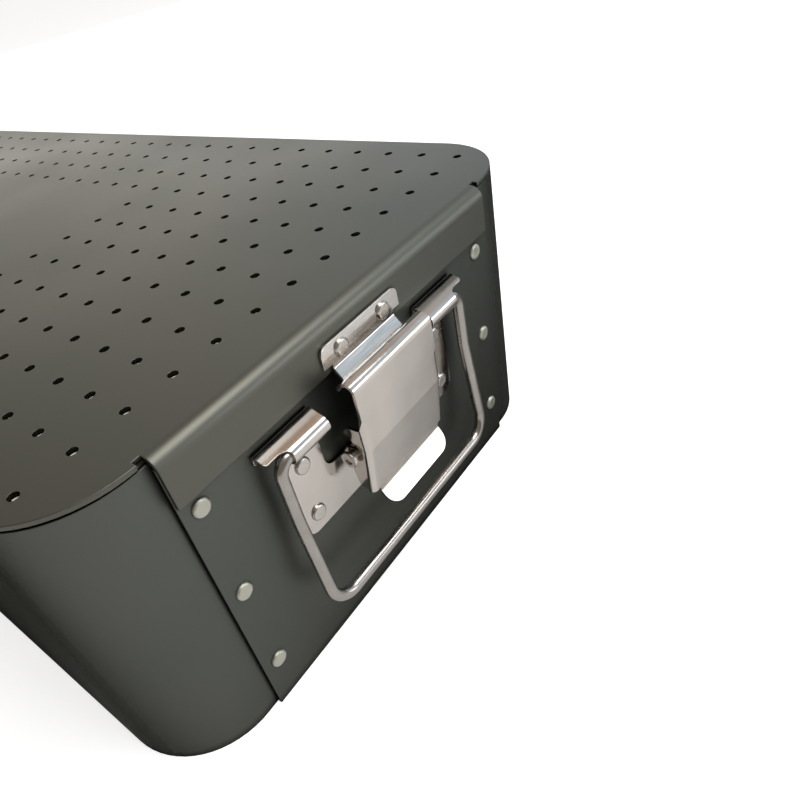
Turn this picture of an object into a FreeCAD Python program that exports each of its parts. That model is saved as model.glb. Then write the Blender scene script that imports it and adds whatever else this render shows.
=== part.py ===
import FreeCAD, Part
import math
import os
import Sketcher
from FreeCAD import Placement, Rotation, Vector

# Rigid sterilization container, closed, standing on its bottom pan.
# The origin is at the middle of the bottom, X runs along the length and Z points up.
# The two ends carry the same hardware, turned half round about Z.

doc = FreeCAD.newDocument("sterilization_container")
sheet = doc.addObject("Spreadsheet::Sheet", "Sizes")

SIZES = [
    # Lid
    ("lid_length", 598, "over the faces of the two end flanges"),
    ("lid_width", 271, "across the lid plate"),
    ("overall_height", 137, "closed, from the table to the lid plate"),
    ("lid_corner", 40, "plan radius of the lid's corners"),
    ("lid_sheet", 2, "thickness of the lid"),
    ("flange_side", 4, "end flange and end panel inside the start of the lid's corners"),
    ("flange_drop", 20.5, "lid plate down to the flange's lower edge"),
    ("flange_bend", 5.5, "outer radius of the flange's bend"),
    ("relief_width", 3, "notch beside each end of the bend"),
    ("relief_depth", 1, "notch past the start of the bend"),
    ("flange_gap", 0.5, "flange to end panel"),
    ("lid_overhang", 0.5, "lid plate past the side walls"),
    ("lid_gap", 0.6, "dark gap between wall and lid plate"),
    # Vent holes
    ("hole_width", 4, "vent hole"),
    ("hole_pitch", 20, "square grid"),
    ("hole_margin_end", 29, "end of the lid to the first column"),
    ("hole_margin_side", 15.5, "edge of the lid to the first row"),
    ("blank_length", 200, "field in the middle without holes"),
    ("blank_width", 90, "field in the middle without holes"),
    # Walls
    ("end_sheet", 2, "end panel"),
    ("side_sheet", 1.5, "side wall"),
    ("corner_step", 2, "outer plan radius of the side wall's bend below the lid's"),
    ("side_lap", 19.5, "side wall behind the end panel's edge"),
    ("panel_clear", 2.5, "end panel's top edge below the lid plate"),
    ("wall_rivet_inset", 7.5, "rivets from the end panel's edge"),
    ("wall_rivet_top", 27.2, "top rivet below the lid plate"),
    ("wall_rivet_low", 23, "bottom rivet above the table"),
    ("rivet_head", 3.6, "radius of a rivet's head"),
    ("rivet_rise", 1.3, "height of a rivet's head"),
    ("rivet_brim", 0.5, "height of the head's upright edge"),
    ("rivet_crown", 2.5, "radius where the head's slope ends"),
    ("rivet_shank", 2, "radius of a rivet's shank"),
    # Bottom pan, rim and seal
    ("pan_sheet", 1.5, "bottom pan"),
    ("pan_wall", 15, "upstand of the bottom pan"),
    ("rim_sheet", 1.5, "rim frame"),
    ("rim_height", 12, "rim frame"),
    ("rim_ledge", 10, "seat of the seal"),
    ("seal_height", 6, "lid plate down to the rim's seat"),
    ("seal_clear", 0.2, "seal above its seat"),
    ("seal_inset", 1.5, "seal from the wall"),
    ("seal_width", 7, "seal"),
    # Filter
    ("filter_thickness", 0.8, "filter sheet"),
    ("filter_clear", 1.5, "holder inside the seal"),
    ("holder_sheet", 1, "retention plate"),
    ("holder_rim", 4, "depth of its folded rim"),
    ("window_columns", 6, "windows along the retention plate"),
    ("window_rows", 3, "windows across the retention plate"),
    ("window_bar", 8, "bars between its windows"),
    ("stud_offset", 70, "studs from the middle"),
    ("stud_radius", 3, "stud under the lid"),
    ("stud_foot", 4.6, "radius of the stud's foot"),
    ("stud_foot_height", 1.2, "stud's foot"),
    ("knob_radius", 11, "quarter-turn knob"),
    ("knob_disc", 3, "its disc"),
    ("knob_wing", 34, "length of its wing"),
    ("knob_wing_width", 7, "wing"),
    ("knob_wing_height", 3, "wing"),
    ("knob_clear", 0.2, "play above and below the knob"),
    ("bore_clear", 0.06, "radial play of a pin or stud in its hole"),
    # Keeper
    ("steel_sheet", 1.2, "keeper, handle plate and latch cover"),
    ("steel_bend", 1.6, "mid-line radius of small bends"),
    ("keeper_width", 45.5, "part that is riveted on"),
    ("keeper_tongue", 36.8, "tongue under the latch"),
    ("keeper_top", 8.3, "below the lid plate"),
    ("keeper_fold", 18.9, "first bend below the lid plate"),
    ("keeper_corner", 3.5, "rounded top corners"),
    ("keeper_rivet_offset", 12.4, "rivets from the middle"),
    ("keeper_rivet_down", 13.4, "rivets below the lid plate"),
    ("tongue_out", 8.4, "second bend from the end panel"),
    ("tongue_down", 25.1, "second bend below the lid plate"),
    ("tip_out", 12.3, "tip from the end panel"),
    ("tip_down", 26.1, "tip below the lid plate"),
    # Handle plate
    ("plate_width", 103, "flat part"),
    ("plate_down", 78, "lower edge below the lid plate"),
    ("plate_fold", 29.5, "start of the rolled part below the lid plate"),
    ("plate_corner", 6, "lower corners"),
    ("cutout_width", 66, "gap between the knuckles"),
    ("cutout_down", 56, "its lower edge below the lid plate"),
    ("cutout_corner", 5, "its lower corners"),
    ("knuckle_width", 18.5, "rolled tube round the wire"),
    ("knuckle_slope", 19, "degrees that its top falls outwards"),
    ("hood_width", 10, "half-open part past the tube"),
    ("hood_reach", 6.8, "hood's front edge from the end panel"),
    ("knuckle_bend", 1, "mid-line radius at the top of the knuckle"),
    ("plate_rivet_offset", 43.5, "rivets from the middle"),
    ("plate_rivet_top", 45, "upper rivets below the lid plate"),
    ("plate_rivet_low", 69.5, "lower rivets below the lid plate"),
    ("ear_gap", 0.4, "ear to latch cover"),
    ("ear_root", 4, "height of the ear's joint with the plate"),
    ("ear_foot_out", 8, "ear's lower corner from the end panel"),
    ("ear_foot_down", 58.9, "ear's lower corner below the lid plate"),
    ("ear_front_out", 14.4, "ear's front corner from the end panel"),
    ("ear_front_down", 51.3, "ear's front corner below the lid plate"),
    ("ear_top_out", 13, "front end of the ear's top edge from the end panel"),
    ("ear_top_down", 39.6, "ear's top edge below the lid plate"),
    ("ear_top_length", 4.1, "ear's top edge"),
    # Bail
    ("wire_radius", 2.5, "bail"),
    ("wire_clear", 0.1, "radial play in the knuckle"),
    ("wire_out", 6.6, "turning axis from the end panel"),
    ("wire_down", 31, "turning axis below the lid plate"),
    ("bail_width", 114, "between the middles of the arms"),
    ("bail_drop", 75, "turning axis to the middle of the grip bar"),
    ("bail_tail", 35, "wire's end from the middle"),
    ("bail_kink_down", 26.5, "bend in the arms below the turning axis"),
    ("bail_kink_out", 6.8, "bend in the arms from the end panel"),
    ("bail_bar_out", 11.5, "grip bar from the end panel"),
    ("bail_shoulder", 6, "bend between tail and arm"),
    ("bail_kink_bend", 40, "bend in the arms"),
    ("bail_corner", 11, "bend between arm and grip bar"),
    # Latch
    ("cover_width", 49.4, "latch cover"),
    ("cover_out", 16.3, "front face from the end panel"),
    ("curl_radius", 4, "outer radius of the rolled edge"),
    ("curl_down", 23.2, "middle of the rolled edge below the lid plate"),
    ("crease_down", 49.7, "crease in the face below the lid plate"),
    ("waist_out", 13.6, "lower bend from the end panel"),
    ("waist_down", 74.1, "lower bend below the lid plate"),
    ("shoulder_down", 72, "end of the face's full width below the lid plate"),
    ("tab_width", 41.2, "thumb tab"),
    ("tab_out", 19, "tab's edge from the end panel"),
    ("tab_down", 81.8, "tab's edge below the lid plate"),
    ("tab_corner", 6.5, "tab's corners"),
    ("cheek_rise", 36.5, "side flanges at the face below the lid plate"),
    ("cheek_step", 14.3, "end of that rise from the end panel"),
    ("cheek_top", 40, "top of the cover's side flanges"),
    ("cheek_out", 6, "inner edge of the side flanges from the end panel"),
    ("cheek_bevel", 2.6, "upper inner corner of the side flanges"),
    ("cheek_lobe_out", 4, "lobe round the pin from the end panel"),
    ("cheek_lobe", 8, "height of that lobe"),
    ("cheek_heel", 61.9, "lower end of the inner edge below the lid plate"),
    ("cheek_foot_out", 7.4, "foot of the side flanges from the end panel"),
    ("cheek_foot_down", 69.3, "foot of the side flanges below the lid plate"),
    ("pin_out", 7.6, "latch pin from the end panel"),
    ("pin_down", 54.2, "latch pin below the lid plate"),
    ("pin_radius", 2, "latch pin"),
    ("pin_head", 3.7, "radius of the pin's heads"),
    ("pin_head_length", 1.3, "pin's heads"),
    ("spring_wire", 0.6, "radius of the spring's wire"),
    ("spring_play", 0.3, "coil round the pin"),
    ("spring_length", 26, "coil"),
    ("spring_leg", 13, "legs of the spring"),
    ("spring_leg_inset", 0.9, "legs from the ends of the coil"),
    # Tools
    ("cut_past", 1, "cutting tools past the faces they cut"),
]

# Small round pieces and holes are many-sided, which keeps the facets few
ROUND_SIDES = 12
RIVET_SIDES = 8
VENT_SIDES = 4
BEND_STEP = math.radians(22.5)


class Size:
    """A length together with the formula of sheet cells that gives it."""

    def __init__(self, number, rule):
        self.number = float(number)
        self.rule = rule

    def __float__(self):
        return self.number

    def combined(self, other, sign, number):
        return Size(number, f"({self.rule} {sign} {rule_of(other)})")

    def __add__(self, other):
        return self.combined(other, "+", self.number + float(other))

    def __sub__(self, other):
        return self.combined(other, "-", self.number - float(other))

    def __mul__(self, other):
        return self.combined(other, "*", self.number * float(other))

    def __truediv__(self, other):
        return self.combined(other, "/", self.number / float(other))

    def __neg__(self):
        return Size(-self.number, f"(0 - {self.rule})")


def rule_of(value):
    return value.rule if isinstance(value, Size) else str(value)


cell = {}
for row, (alias, number, note) in enumerate(SIZES, 1):
    sheet.set(f"A{row}", alias)
    sheet.set(f"B{row}", str(number))
    sheet.set(f"C{row}", note)
    sheet.setAlias(f"B{row}", alias)
    cell[alias] = Size(number, f"Sizes.{alias}")
doc.recompute()

# Levels and faces that several pieces share
lid_top = cell["overall_height"]
lid_under = lid_top - cell["lid_sheet"]
flange_face = cell["lid_length"] / 2
panel_face = flange_face - cell["lid_sheet"] - cell["flange_gap"]
wall_end = panel_face - cell["end_sheet"]
wall_side = cell["lid_width"] / 2 - cell["lid_overhang"]
wall_top = lid_under - cell["lid_gap"]
wall_corner = cell["lid_corner"] - cell["corner_step"]
panel_half = cell["lid_width"] / 2 - cell["lid_corner"] - cell["flange_side"]
tray_end = wall_end - cell["side_sheet"]
tray_side = wall_side - cell["side_sheet"]
tray_corner = wall_corner - cell["side_sheet"]
lap_start = panel_half - cell["side_lap"]
steel = cell["steel_sheet"]
half_steel = steel / 2
past = cell["cut_past"]

ENDS = {"right": 0, "left": 180}
pieces = {}


def keep(name, piece):
    """Names a finished piece; its label is the name of its file."""
    piece.Label = name
    pieces[name] = piece


def bind(thing, prop, value):
    """Gives a property its number, and its formula when it has one."""
    if isinstance(value, Size):
        thing.setExpression(prop, value.rule)


def turned(thing, angle):
    thing.Placement = Placement(Vector(), Rotation(Vector(0, 0, 1), angle))


def new_body(name):
    return doc.addObject("PartDesign::Body", name)


def origin_plane(body, role):
    return [feature for feature in body.Origin.OriginFeatures if feature.Role == role][0]


def outline(body, name, role, loops, lift=0):
    """A sketch of closed straight-sided loops, each corner held by two bound distances."""
    sketch = body.newObject("Sketcher::SketchObject", name)
    sketch.AttachmentSupport = [(origin_plane(body, role), "")]
    sketch.MapMode = "FlatFace"
    sketch.AttachmentOffset = Placement(Vector(0, 0, float(lift)), Rotation())
    bind(sketch, "AttachmentOffset.Base.z", lift)
    for corners in loops:
        first = sketch.GeometryCount
        count = len(corners)
        points = [Vector(float(across), float(up), 0) for across, up in corners]
        for start, end in zip(points, points[1:] + points[:1]):
            sketch.addGeometry(Part.LineSegment(start, end), False)
        for number, (across, up) in enumerate(corners):
            line = first + number
            following = first + (number + 1) % count
            sketch.addConstraint(Sketcher.Constraint("Coincident", line, 2, following, 1))
            for kind, value in (("DistanceX", across), ("DistanceY", up)):
                held = sketch.addConstraint(
                    Sketcher.Constraint(kind, -1, 1, line, 1, float(value)))
                bind(sketch, f"Constraints[{held}]", value)
    return sketch


def pad(body, name, sketch, length, both_ways=False):
    feature = body.newObject("PartDesign::Pad", name)
    feature.Profile = sketch
    feature.Length = float(length)
    feature.SideType = "Symmetric" if both_ways else "One side"
    bind(feature, "Length", length)
    doc.recompute()
    return feature


def pocket(body, name, sketch, depth, upwards=False):
    feature = body.newObject("PartDesign::Pocket", name)
    feature.Profile = sketch
    feature.Length = float(depth)
    feature.Reversed = upwards
    bind(feature, "Length", depth)
    doc.recompute()
    return feature


def round_edges(body, name, feature, radius, is_wanted):
    """Rounds the straight edges for which is_wanted(middle, direction) holds."""
    wanted = []
    for number, edge in enumerate(feature.Shape.Edges, 1):
        if edge.Curve.TypeId != "Part::GeomLine":
            continue
        start, end = edge.Vertexes[0].Point, edge.Vertexes[-1].Point
        if is_wanted((start + end) / 2, (end - start).normalize()):
            wanted.append(f"Edge{number}")
    fillet = body.newObject("PartDesign::Fillet", name)
    fillet.Base = (feature, wanted)
    fillet.Radius = float(radius)
    bind(fillet, "Radius", radius)
    doc.recompute()
    return fillet


def near_any(across, up, places):
    return any(abs(across - float(x)) < 0.01 and abs(up - float(y)) < 0.01 for x, y in places)


def mirrored_corners(across, up):
    return [(across, up), (-across, up), (across, -up), (-across, -up)]


def rectangle(low_x, low_y, high_x, high_y):
    return [(low_x, low_y), (high_x, low_y), (high_x, high_y), (low_x, high_y)]


def band(path, thickness):
    """Section of bent sheet: path holds (x, z, radius) of the mid-line's corners.

    The two faces of the sheet are the mid-line set off by half the thickness, so an
    arc stays an arc about the same centre.
    """
    points = [Vector(float(x), 0, float(z)) for x, z, radius in path]
    radii = [float(radius) for x, z, radius in path]
    pieces_of_path = []
    last = points[0]
    for number in range(1, len(points) - 1):
        before = (points[number] - points[number - 1]).normalize()
        after = (points[number + 1] - points[number]).normalize()
        turn = before.getAngle(after)
        reach = radii[number] * math.tan(turn / 2)
        start = points[number] - before * reach
        end = points[number] + after * reach
        inwards = (after - before).normalize()
        centre = points[number] + inwards * (radii[number] / math.cos(turn / 2))
        if (start - last).Length > 1e-6:
            pieces_of_path.append(("line", last, start, None))
        pieces_of_path.append(("arc", start, end, centre))
        last = end
    pieces_of_path.append(("line", last, points[-1], None))

    def side(offset):
        edges = []
        for kind, start, end, centre in pieces_of_path:
            if kind == "line":
                along = (end - start).normalize()
                away = Vector(-along.z, 0, along.x) * offset
                edges.append(Part.LineSegment(start + away, end + away).toShape())
            else:
                out_start, out_end = start - centre, end - centre
                radius = out_start.Length
                middle = (out_start + out_end).normalize()
                turning = out_start.cross(out_end).y
                grown = (radius + (offset if turning > 0 else -offset)) / radius
                edges.append(Part.Arc(
                    centre + out_start * grown,
                    centre + middle * radius * grown,
                    centre + out_end * grown).toShape())
        return edges

    upper = side(thickness / 2)
    lower = side(-thickness / 2)
    caps = [
        Part.LineSegment(upper[0].firstVertex().Point, lower[0].firstVertex().Point).toShape(),
        Part.LineSegment(upper[-1].lastVertex().Point, lower[-1].lastVertex().Point).toShape(),
    ]
    return Part.Face(Part.Wire(Part.__sortEdges__(upper + lower + caps)))


def polygon_face(corners):
    points = [Vector(float(x), 0, float(z)) for x, z in corners]
    return Part.Face(Part.makePolygon(points + points[:1]))


def ring_corners(radius, level, sides):
    turn = 2 * math.pi / sides
    return [Vector(radius * math.cos(turn * number), radius * math.sin(turn * number), level)
            for number in range(sides)]


def round_outline(radius, level, sides):
    """A many-sided ring at a level of the local Z axis."""
    corners = ring_corners(radius, level, sides)
    return Part.makePolygon(corners + corners[:1])


def lathed(rings, sides):
    """A flat-sided solid of revolution through rings of (radius, level), from its foot up."""
    faces = [Part.Face(round_outline(*ring, sides)) for ring in (rings[0], rings[-1])]
    for lower, upper in zip(rings, rings[1:]):
        low, high = ring_corners(*lower, sides), ring_corners(*upper, sides)
        for number in range(sides):
            following = (number + 1) % sides
            corners = [low[number], low[following], high[following], high[number]]
            faces.append(Part.Face(Part.makePolygon(corners + corners[:1])))
    solid = Part.Solid(Part.Shell(faces)).removeSplitter()
    if solid.Volume < 0:
        solid.reverse()
    return solid


def extrusion(name, face, low_y, high_y):
    """A section in the XZ plane drawn out along Y between two bound distances."""
    section = doc.addObject("Part::Feature", f"{name}_section")
    section.Shape = face
    solid = doc.addObject("Part::Extrusion", name)
    solid.Base = section
    solid.DirMode = "Custom"
    solid.Dir = Vector(0, 1, 0)
    solid.Solid = True
    solid.LengthFwd = float(high_y)
    solid.LengthRev = -float(low_y)
    bind(solid, "LengthFwd", high_y)
    bind(solid, "LengthRev", Size(0, "0") - low_y)
    return solid


def round_bar(name, base, axis, radius, height):
    """A bar with its corners on the real circle, all bound; axis is "y" or "z"."""
    turns = {"y": Rotation(Vector(1, 0, 0), -90), "z": Rotation()}
    solid = doc.addObject("Part::Prism", name)
    solid.Polygon = ROUND_SIDES
    solid.Circumradius = float(radius)
    solid.Height = float(height)
    solid.Placement = Placement(Vector(*(float(value) for value in base)), turns[axis])
    bind(solid, "Circumradius", radius)
    bind(solid, "Height", height)
    for letter, value in zip("xyz", base):
        bind(solid, f"Placement.Base.{letter}", value)
    return solid


def round_hole(name, base, axis, radius, height):
    """The tool for a hole whose flat sides touch the real circle."""
    return round_bar(name, base, axis, radius / math.cos(math.pi / ROUND_SIDES), height)


def block(name, low, sides):
    solid = doc.addObject("Part::Box", name)
    solid.Placement = Placement(Vector(*(float(value) for value in low)), Rotation())
    for letter, value in zip("xyz", low):
        bind(solid, f"Placement.Base.{letter}", value)
    for prop, value in zip(("Length", "Width", "Height"), sides):
        setattr(solid, prop, float(value))
        bind(solid, prop, value)
    return solid


def fused(name, solids):
    union = doc.addObject("Part::MultiFuse", name)
    union.Shapes = solids
    union.Refine = True
    return union


def cut(name, base, tool):
    difference = doc.addObject("Part::Cut", name)
    difference.Base = base
    difference.Tool = tool
    return difference


def rounded(name, base, radius, is_wanted):
    """Rounds the edges for which is_wanted(middle, length) holds."""
    doc.recompute()
    fillet = doc.addObject("Part::Fillet", name)
    fillet.Base = base
    fillet.Edges = [(number, float(radius), float(radius))
                    for number, edge in enumerate(base.Shape.Edges, 1)
                    if is_wanted(edge.CenterOfMass, edge.Length)]
    return fillet


# Lid shell: one sheet, folded down at both ends
def lid_shell():
    body = new_body("lid_folded")
    plate_end = wall_end + cell["lid_overhang"]
    half_width = cell["lid_width"] / 2
    sketch = outline(body, "lid_plan", "XY_Plane",
                     [rectangle(-plate_end, -half_width, plate_end, half_width)], lid_under)
    plate = pad(body, "lid_plate", sketch, cell["lid_sheet"])
    plate = round_edges(body, "lid_corners", plate, cell["lid_corner"],
                        lambda middle, along: abs(along.z) > 0.99)

    bend_start = flange_face - cell["flange_bend"]
    notch_start = bend_start - cell["relief_depth"]
    notch_half = panel_half + cell["relief_width"]
    past_end = plate_end + cell["lid_sheet"]
    notches = outline(body, "bend_reliefs", "XY_Plane", [
        rectangle(notch_start, -notch_half, past_end, notch_half),
        rectangle(-past_end, -notch_half, -notch_start, notch_half)], lid_top)
    pocket(body, "bend_relief_cut", notches, cell["lid_sheet"])

    inner_face = flange_face - cell["lid_sheet"]
    low_edge = lid_top - cell["flange_drop"]

    def fold(side):
        return [(notch_start * side, lid_top), (flange_face * side, lid_top),
                (flange_face * side, low_edge), (inner_face * side, low_edge),
                (inner_face * side, lid_under), (notch_start * side, lid_under)]

    folds = outline(body, "flange_folds", "XZ_Plane", [fold(1), fold(-1)])
    flanges = pad(body, "end_flanges", folds, panel_half * 2, both_ways=True)
    outer = [(flange_face, lid_top), (-flange_face, lid_top)]
    inner = [(inner_face, lid_under), (-inner_face, lid_under)]
    bends = round_edges(body, "outer_bends", flanges, cell["flange_bend"],
                        lambda middle, along: near_any(middle.x, middle.z, outer))
    round_edges(body, "inner_bends", bends, cell["flange_bend"] - cell["lid_sheet"],
                lambda middle, along: near_any(middle.x, middle.z, inner))

    vents = doc.addObject("Part::Feature", "vent_holes")
    vents.Shape = Part.makeCompound([vent(x, y) for x, y in vent_places()])
    keep("lid_shell", cut("lid_perforated", body, vents))


def vent_places():
    """Centres of the vent holes: a square grid that leaves out the field in the middle."""
    def positions(room):
        pitch = float(cell["hole_pitch"])
        count = int(room / pitch + 1e-6) + 1
        return [(number - (count - 1) / 2) * pitch for number in range(count)]

    half_blank_length = float(cell["blank_length"]) / 2
    half_blank_width = float(cell["blank_width"]) / 2
    columns = positions(float(cell["lid_length"] - cell["hole_margin_end"] * 2))
    rows = positions(float(cell["lid_width"] - cell["hole_margin_side"] * 2))
    return [(x, y) for x in columns for y in rows
            if abs(x) > half_blank_length or abs(y) > half_blank_width]


def vent(x, y):
    """The tool for one hole: a many-sided prism of the round hole's area."""
    turn = 2 * math.pi / VENT_SIDES
    reach = float(cell["hole_width"]) / 2 * math.sqrt(turn / math.sin(turn))
    prism = Part.Face(round_outline(reach, 0, VENT_SIDES))
    prism.translate(Vector(x, y, float(lid_under - past)))
    return prism.extrude(Vector(0, 0, float(cell["lid_sheet"] + past * 2)))


# Side walls: bent round two corners, their ends behind the end panels
def side_walls():
    for name, angle in (("side_wall_front", 0), ("side_wall_rear", 180)):
        body = new_body(name)
        corners = [
            (-wall_end, -lap_start), (-wall_end, -wall_side), (wall_end, -wall_side),
            (wall_end, -lap_start), (tray_end, -lap_start), (tray_end, -tray_side),
            (-tray_end, -tray_side), (-tray_end, -lap_start)]
        plan = outline(body, f"{name}_plan", "XY_Plane", [corners])
        wall = pad(body, f"{name}_sheet", plan, wall_top)
        outer = [(wall_end, -wall_side), (-wall_end, -wall_side)]
        inner = [(tray_end, -tray_side), (-tray_end, -tray_side)]
        wall = round_edges(body, f"{name}_outer_bends", wall, wall_corner,
                           lambda middle, along: near_any(middle.x, middle.y, outer))
        round_edges(body, f"{name}_inner_bends", wall, tray_corner,
                    lambda middle, along: near_any(middle.x, middle.y, inner))
        turned(body, angle)
        keep(name, body)


# End panels: flat sheets over the ends of the side walls
def end_panels():
    top = lid_under - cell["panel_clear"]
    for end, angle in ENDS.items():
        name = f"end_panel_{end}"
        body = new_body(name)
        face = outline(body, f"{name}_face", "YZ_Plane",
                       [rectangle(-panel_half, Size(0, "0"), panel_half, top)], wall_end)
        pad(body, f"{name}_sheet", face, cell["end_sheet"])
        turned(body, angle)
        keep(name, body)


def stepped_plan(inset):
    """Plan of the inside of the base: it is deeper between the ends of the side walls."""
    end = tray_end - inset
    deep_end = wall_end - inset
    side = tray_side - inset
    lap = lap_start - inset
    return [(-end, -side), (end, -side), (end, -lap), (deep_end, -lap), (deep_end, lap),
            (end, lap), (end, side), (-end, side), (-end, lap), (-deep_end, lap),
            (-deep_end, -lap), (-end, -lap)]


def stepped_layer(body, name, inset, level, height, cuts=False):
    """Pad or pocket of the stepped plan, its corners still square."""
    plan = outline(body, f"{name}_plan", "XY_Plane", [stepped_plan(inset)], level)
    if cuts:
        return pocket(body, name, plan, height, upwards=True)
    return pad(body, name, plan, height)


def round_plan(body, name, feature, insets):
    """Rounds the four corners at each inset from the tray's outline, the innermost first."""
    for number, inset in enumerate(insets, 1):
        places = mirrored_corners(float(tray_end - inset), float(tray_side - inset))
        feature = round_edges(body, f"{name}_corners_{number}", feature, tray_corner - inset,
                              lambda middle, along: near_any(middle.x, middle.y, places))
    return feature


# Bottom pan: folded up all round inside the walls
def bottom_pan():
    body = new_body("bottom_pan")
    none = Size(0, "0")
    stepped_layer(body, "pan_block", none, none, cell["pan_wall"])
    hollow = stepped_layer(body, "pan_hollow", cell["pan_sheet"], cell["pan_sheet"],
                           cell["pan_wall"] - cell["pan_sheet"], cuts=True)
    round_plan(body, "pan", hollow, [cell["pan_sheet"], none])
    keep("bottom_pan", body)


# Rim frame: an angle all round, whose ledge is the seat of the lid's seal
def rim_frame():
    body = new_body("rim_frame")
    seat = lid_under - cell["seal_height"]
    low = seat - cell["rim_height"]
    none = Size(0, "0")
    stepped_layer(body, "rim_block", none, low, cell["rim_height"])
    stepped_layer(body, "rim_hollow", cell["rim_sheet"], low,
                  cell["rim_height"] - cell["rim_sheet"], cuts=True)
    mouth = stepped_layer(body, "rim_mouth", cell["rim_ledge"], seat - cell["rim_sheet"],
                          cell["rim_sheet"], cuts=True)
    round_plan(body, "rim", mouth, [cell["rim_ledge"], cell["rim_sheet"], none])
    keep("rim_frame", body)


# Lid seal: a silicone strip bonded under the lid plate
def lid_seal():
    body = new_body("lid_seal")
    height = cell["seal_height"] - cell["seal_clear"]
    low = lid_under - height
    stepped_layer(body, "seal_block", cell["seal_inset"], low, height)
    inside = cell["seal_inset"] + cell["seal_width"]
    strip = stepped_layer(body, "seal_inside", inside, low, height, cuts=True)
    round_plan(body, "seal", strip, [inside, cell["seal_inset"]])
    keep("lid_seal", body)


def plain_layer(body, name, inset, level, height, cuts=False):
    """Pad or pocket of the rectangle at an inset from the tray's outline."""
    half_x, half_y = tray_end - inset, tray_side - inset
    plan = outline(body, f"{name}_plan", "XY_Plane",
                   [rectangle(-half_x, -half_y, half_x, half_y)], level)
    if cuts:
        return pocket(body, name, plan, height, upwards=True)
    return pad(body, name, plan, height)


holder_inset = cell["seal_inset"] + cell["seal_width"] + cell["filter_clear"]
holder_x = tray_end - holder_inset
holder_y = tray_side - holder_inset
filter_low = lid_under - cell["filter_thickness"]
holder_low = filter_low - cell["holder_rim"]
stud_hole = cell["stud_radius"] + cell["bore_clear"]
knob_top = holder_low - cell["knob_clear"]
knob_low = knob_top - cell["knob_disc"] - cell["knob_wing_height"]
stud_places = {"front": -cell["stud_offset"], "back": cell["stud_offset"]}


def stud_tools(name, make, low, height, radius):
    """Two upright bars or holes at the studs, as one solid."""
    return fused(name, [
        make(f"{name}_{side}", (x, Size(0, "0"), low), "z", radius, height)
        for side, x in stud_places.items()])


# Filter sheet: paper, flat against the vent holes
def filter_sheet():
    body = new_body("filter_paper")
    paper = plain_layer(body, "paper", holder_inset, filter_low, cell["filter_thickness"])
    round_plan(body, "paper", paper, [holder_inset])
    tools = stud_tools("paper_holes", round_hole, filter_low - past,
                       cell["filter_thickness"] + past * 2, stud_hole)
    keep("filter_sheet", cut("filter_punched", body, tools))


# Retention plate: a shallow tray turned over, with windows under the vented fields
def retention_plate():
    body = new_body("holder_tray")
    wall = cell["holder_sheet"]
    plain_layer(body, "holder_block", holder_inset, holder_low, cell["holder_rim"])
    hollow = plain_layer(body, "holder_hollow", holder_inset + wall, holder_low,
                         cell["holder_rim"] - wall, cuts=True)
    round_plan(body, "holder", hollow, [holder_inset + wall, holder_inset])
    windows = outline(body, "window_plan", "XY_Plane", window_loops(), holder_low)
    pocket(body, "windows", windows, cell["holder_rim"], upwards=True)
    boss_height = cell["holder_rim"]
    bosses = stud_tools("holder_bosses", round_bar, holder_low, boss_height, cell["knob_radius"])
    holes = stud_tools("holder_holes", round_hole, holder_low - past, boss_height + past * 2,
                       stud_hole)
    keep("retention_plate", cut("holder_drilled", fused("holder_bossed", [body, bosses]), holes))


def window_loops():
    """Rectangles with bars between them; the middle ones are left out for the studs."""
    columns = int(float(cell["window_columns"]))
    rows = int(float(cell["window_rows"]))
    bar = cell["window_bar"]
    pitch_x = (holder_x * 2 - bar * 2) / columns
    pitch_y = (holder_y * 2 - bar * 2) / rows
    loops = []
    for column in range(columns):
        for row in range(rows):
            middle_x = pitch_x * (column - (columns - 1) / 2)
            middle_y = pitch_y * (row - (rows - 1) / 2)
            over_stud = abs(float(middle_x)) < float(cell["blank_length"]) / 2
            if over_stud and abs(float(middle_y)) < float(cell["blank_width"]) / 2:
                continue
            half_x = (pitch_x - bar) / 2
            half_y = (pitch_y - bar) / 2
            loops.append(rectangle(middle_x - half_x, middle_y - half_y,
                                   middle_x + half_x, middle_y + half_y))
    return loops


# Studs: welded under the blank field of the lid, each with a foot that keeps its knob
def filter_studs():
    for side, x in stud_places.items():
        foot_top = knob_low - cell["knob_clear"]
        centre = Size(0, "0")
        shank = round_bar(f"stud_shank_{side}", (x, centre, foot_top), "z",
                          cell["stud_radius"], lid_under - foot_top)
        foot = round_bar(f"stud_foot_{side}", (x, centre, foot_top - cell["stud_foot_height"]),
                         "z", cell["stud_foot"], cell["stud_foot_height"])
        keep(f"filter_stud_{side}", fused(f"stud_{side}", [shank, foot]))


# Quarter-turn knobs: a disc with a finger wing, free to turn on its stud
def filter_knobs():
    for side, x in stud_places.items():
        centre = Size(0, "0")
        disc = round_bar(f"knob_disc_{side}", (x, centre, knob_top - cell["knob_disc"]), "z",
                         cell["knob_radius"], cell["knob_disc"])
        wing = block(f"knob_wing_{side}",
                     (x - cell["knob_wing_width"] / 2, -cell["knob_wing"] / 2, knob_low),
                     (cell["knob_wing_width"], cell["knob_wing"], cell["knob_wing_height"]))
        whole = fused(f"knob_solid_{side}", [disc, wing])
        bore = round_hole(f"knob_bore_{side}", (x, centre, knob_low - past), "z", stud_hole,
                          knob_top - knob_low + past * 2)
        keep(f"filter_knob_{side}", cut(f"knob_{side}", whole, bore))


def rivet_shape(face_x, y, z, grip):
    """A low head on the plane x = face_x, and a shank of length grip behind it."""
    shank, head = float(cell["rivet_shank"]), float(cell["rivet_head"])
    solid = lathed([(shank, -grip), (shank, 0), (head, 0), (head, float(cell["rivet_brim"])),
                    (float(cell["rivet_crown"]), float(cell["rivet_rise"]))], RIVET_SIDES)
    solid.Placement = Placement(Vector(face_x, y, z), Rotation(Vector(0, 1, 0), 90))
    return solid


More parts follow.
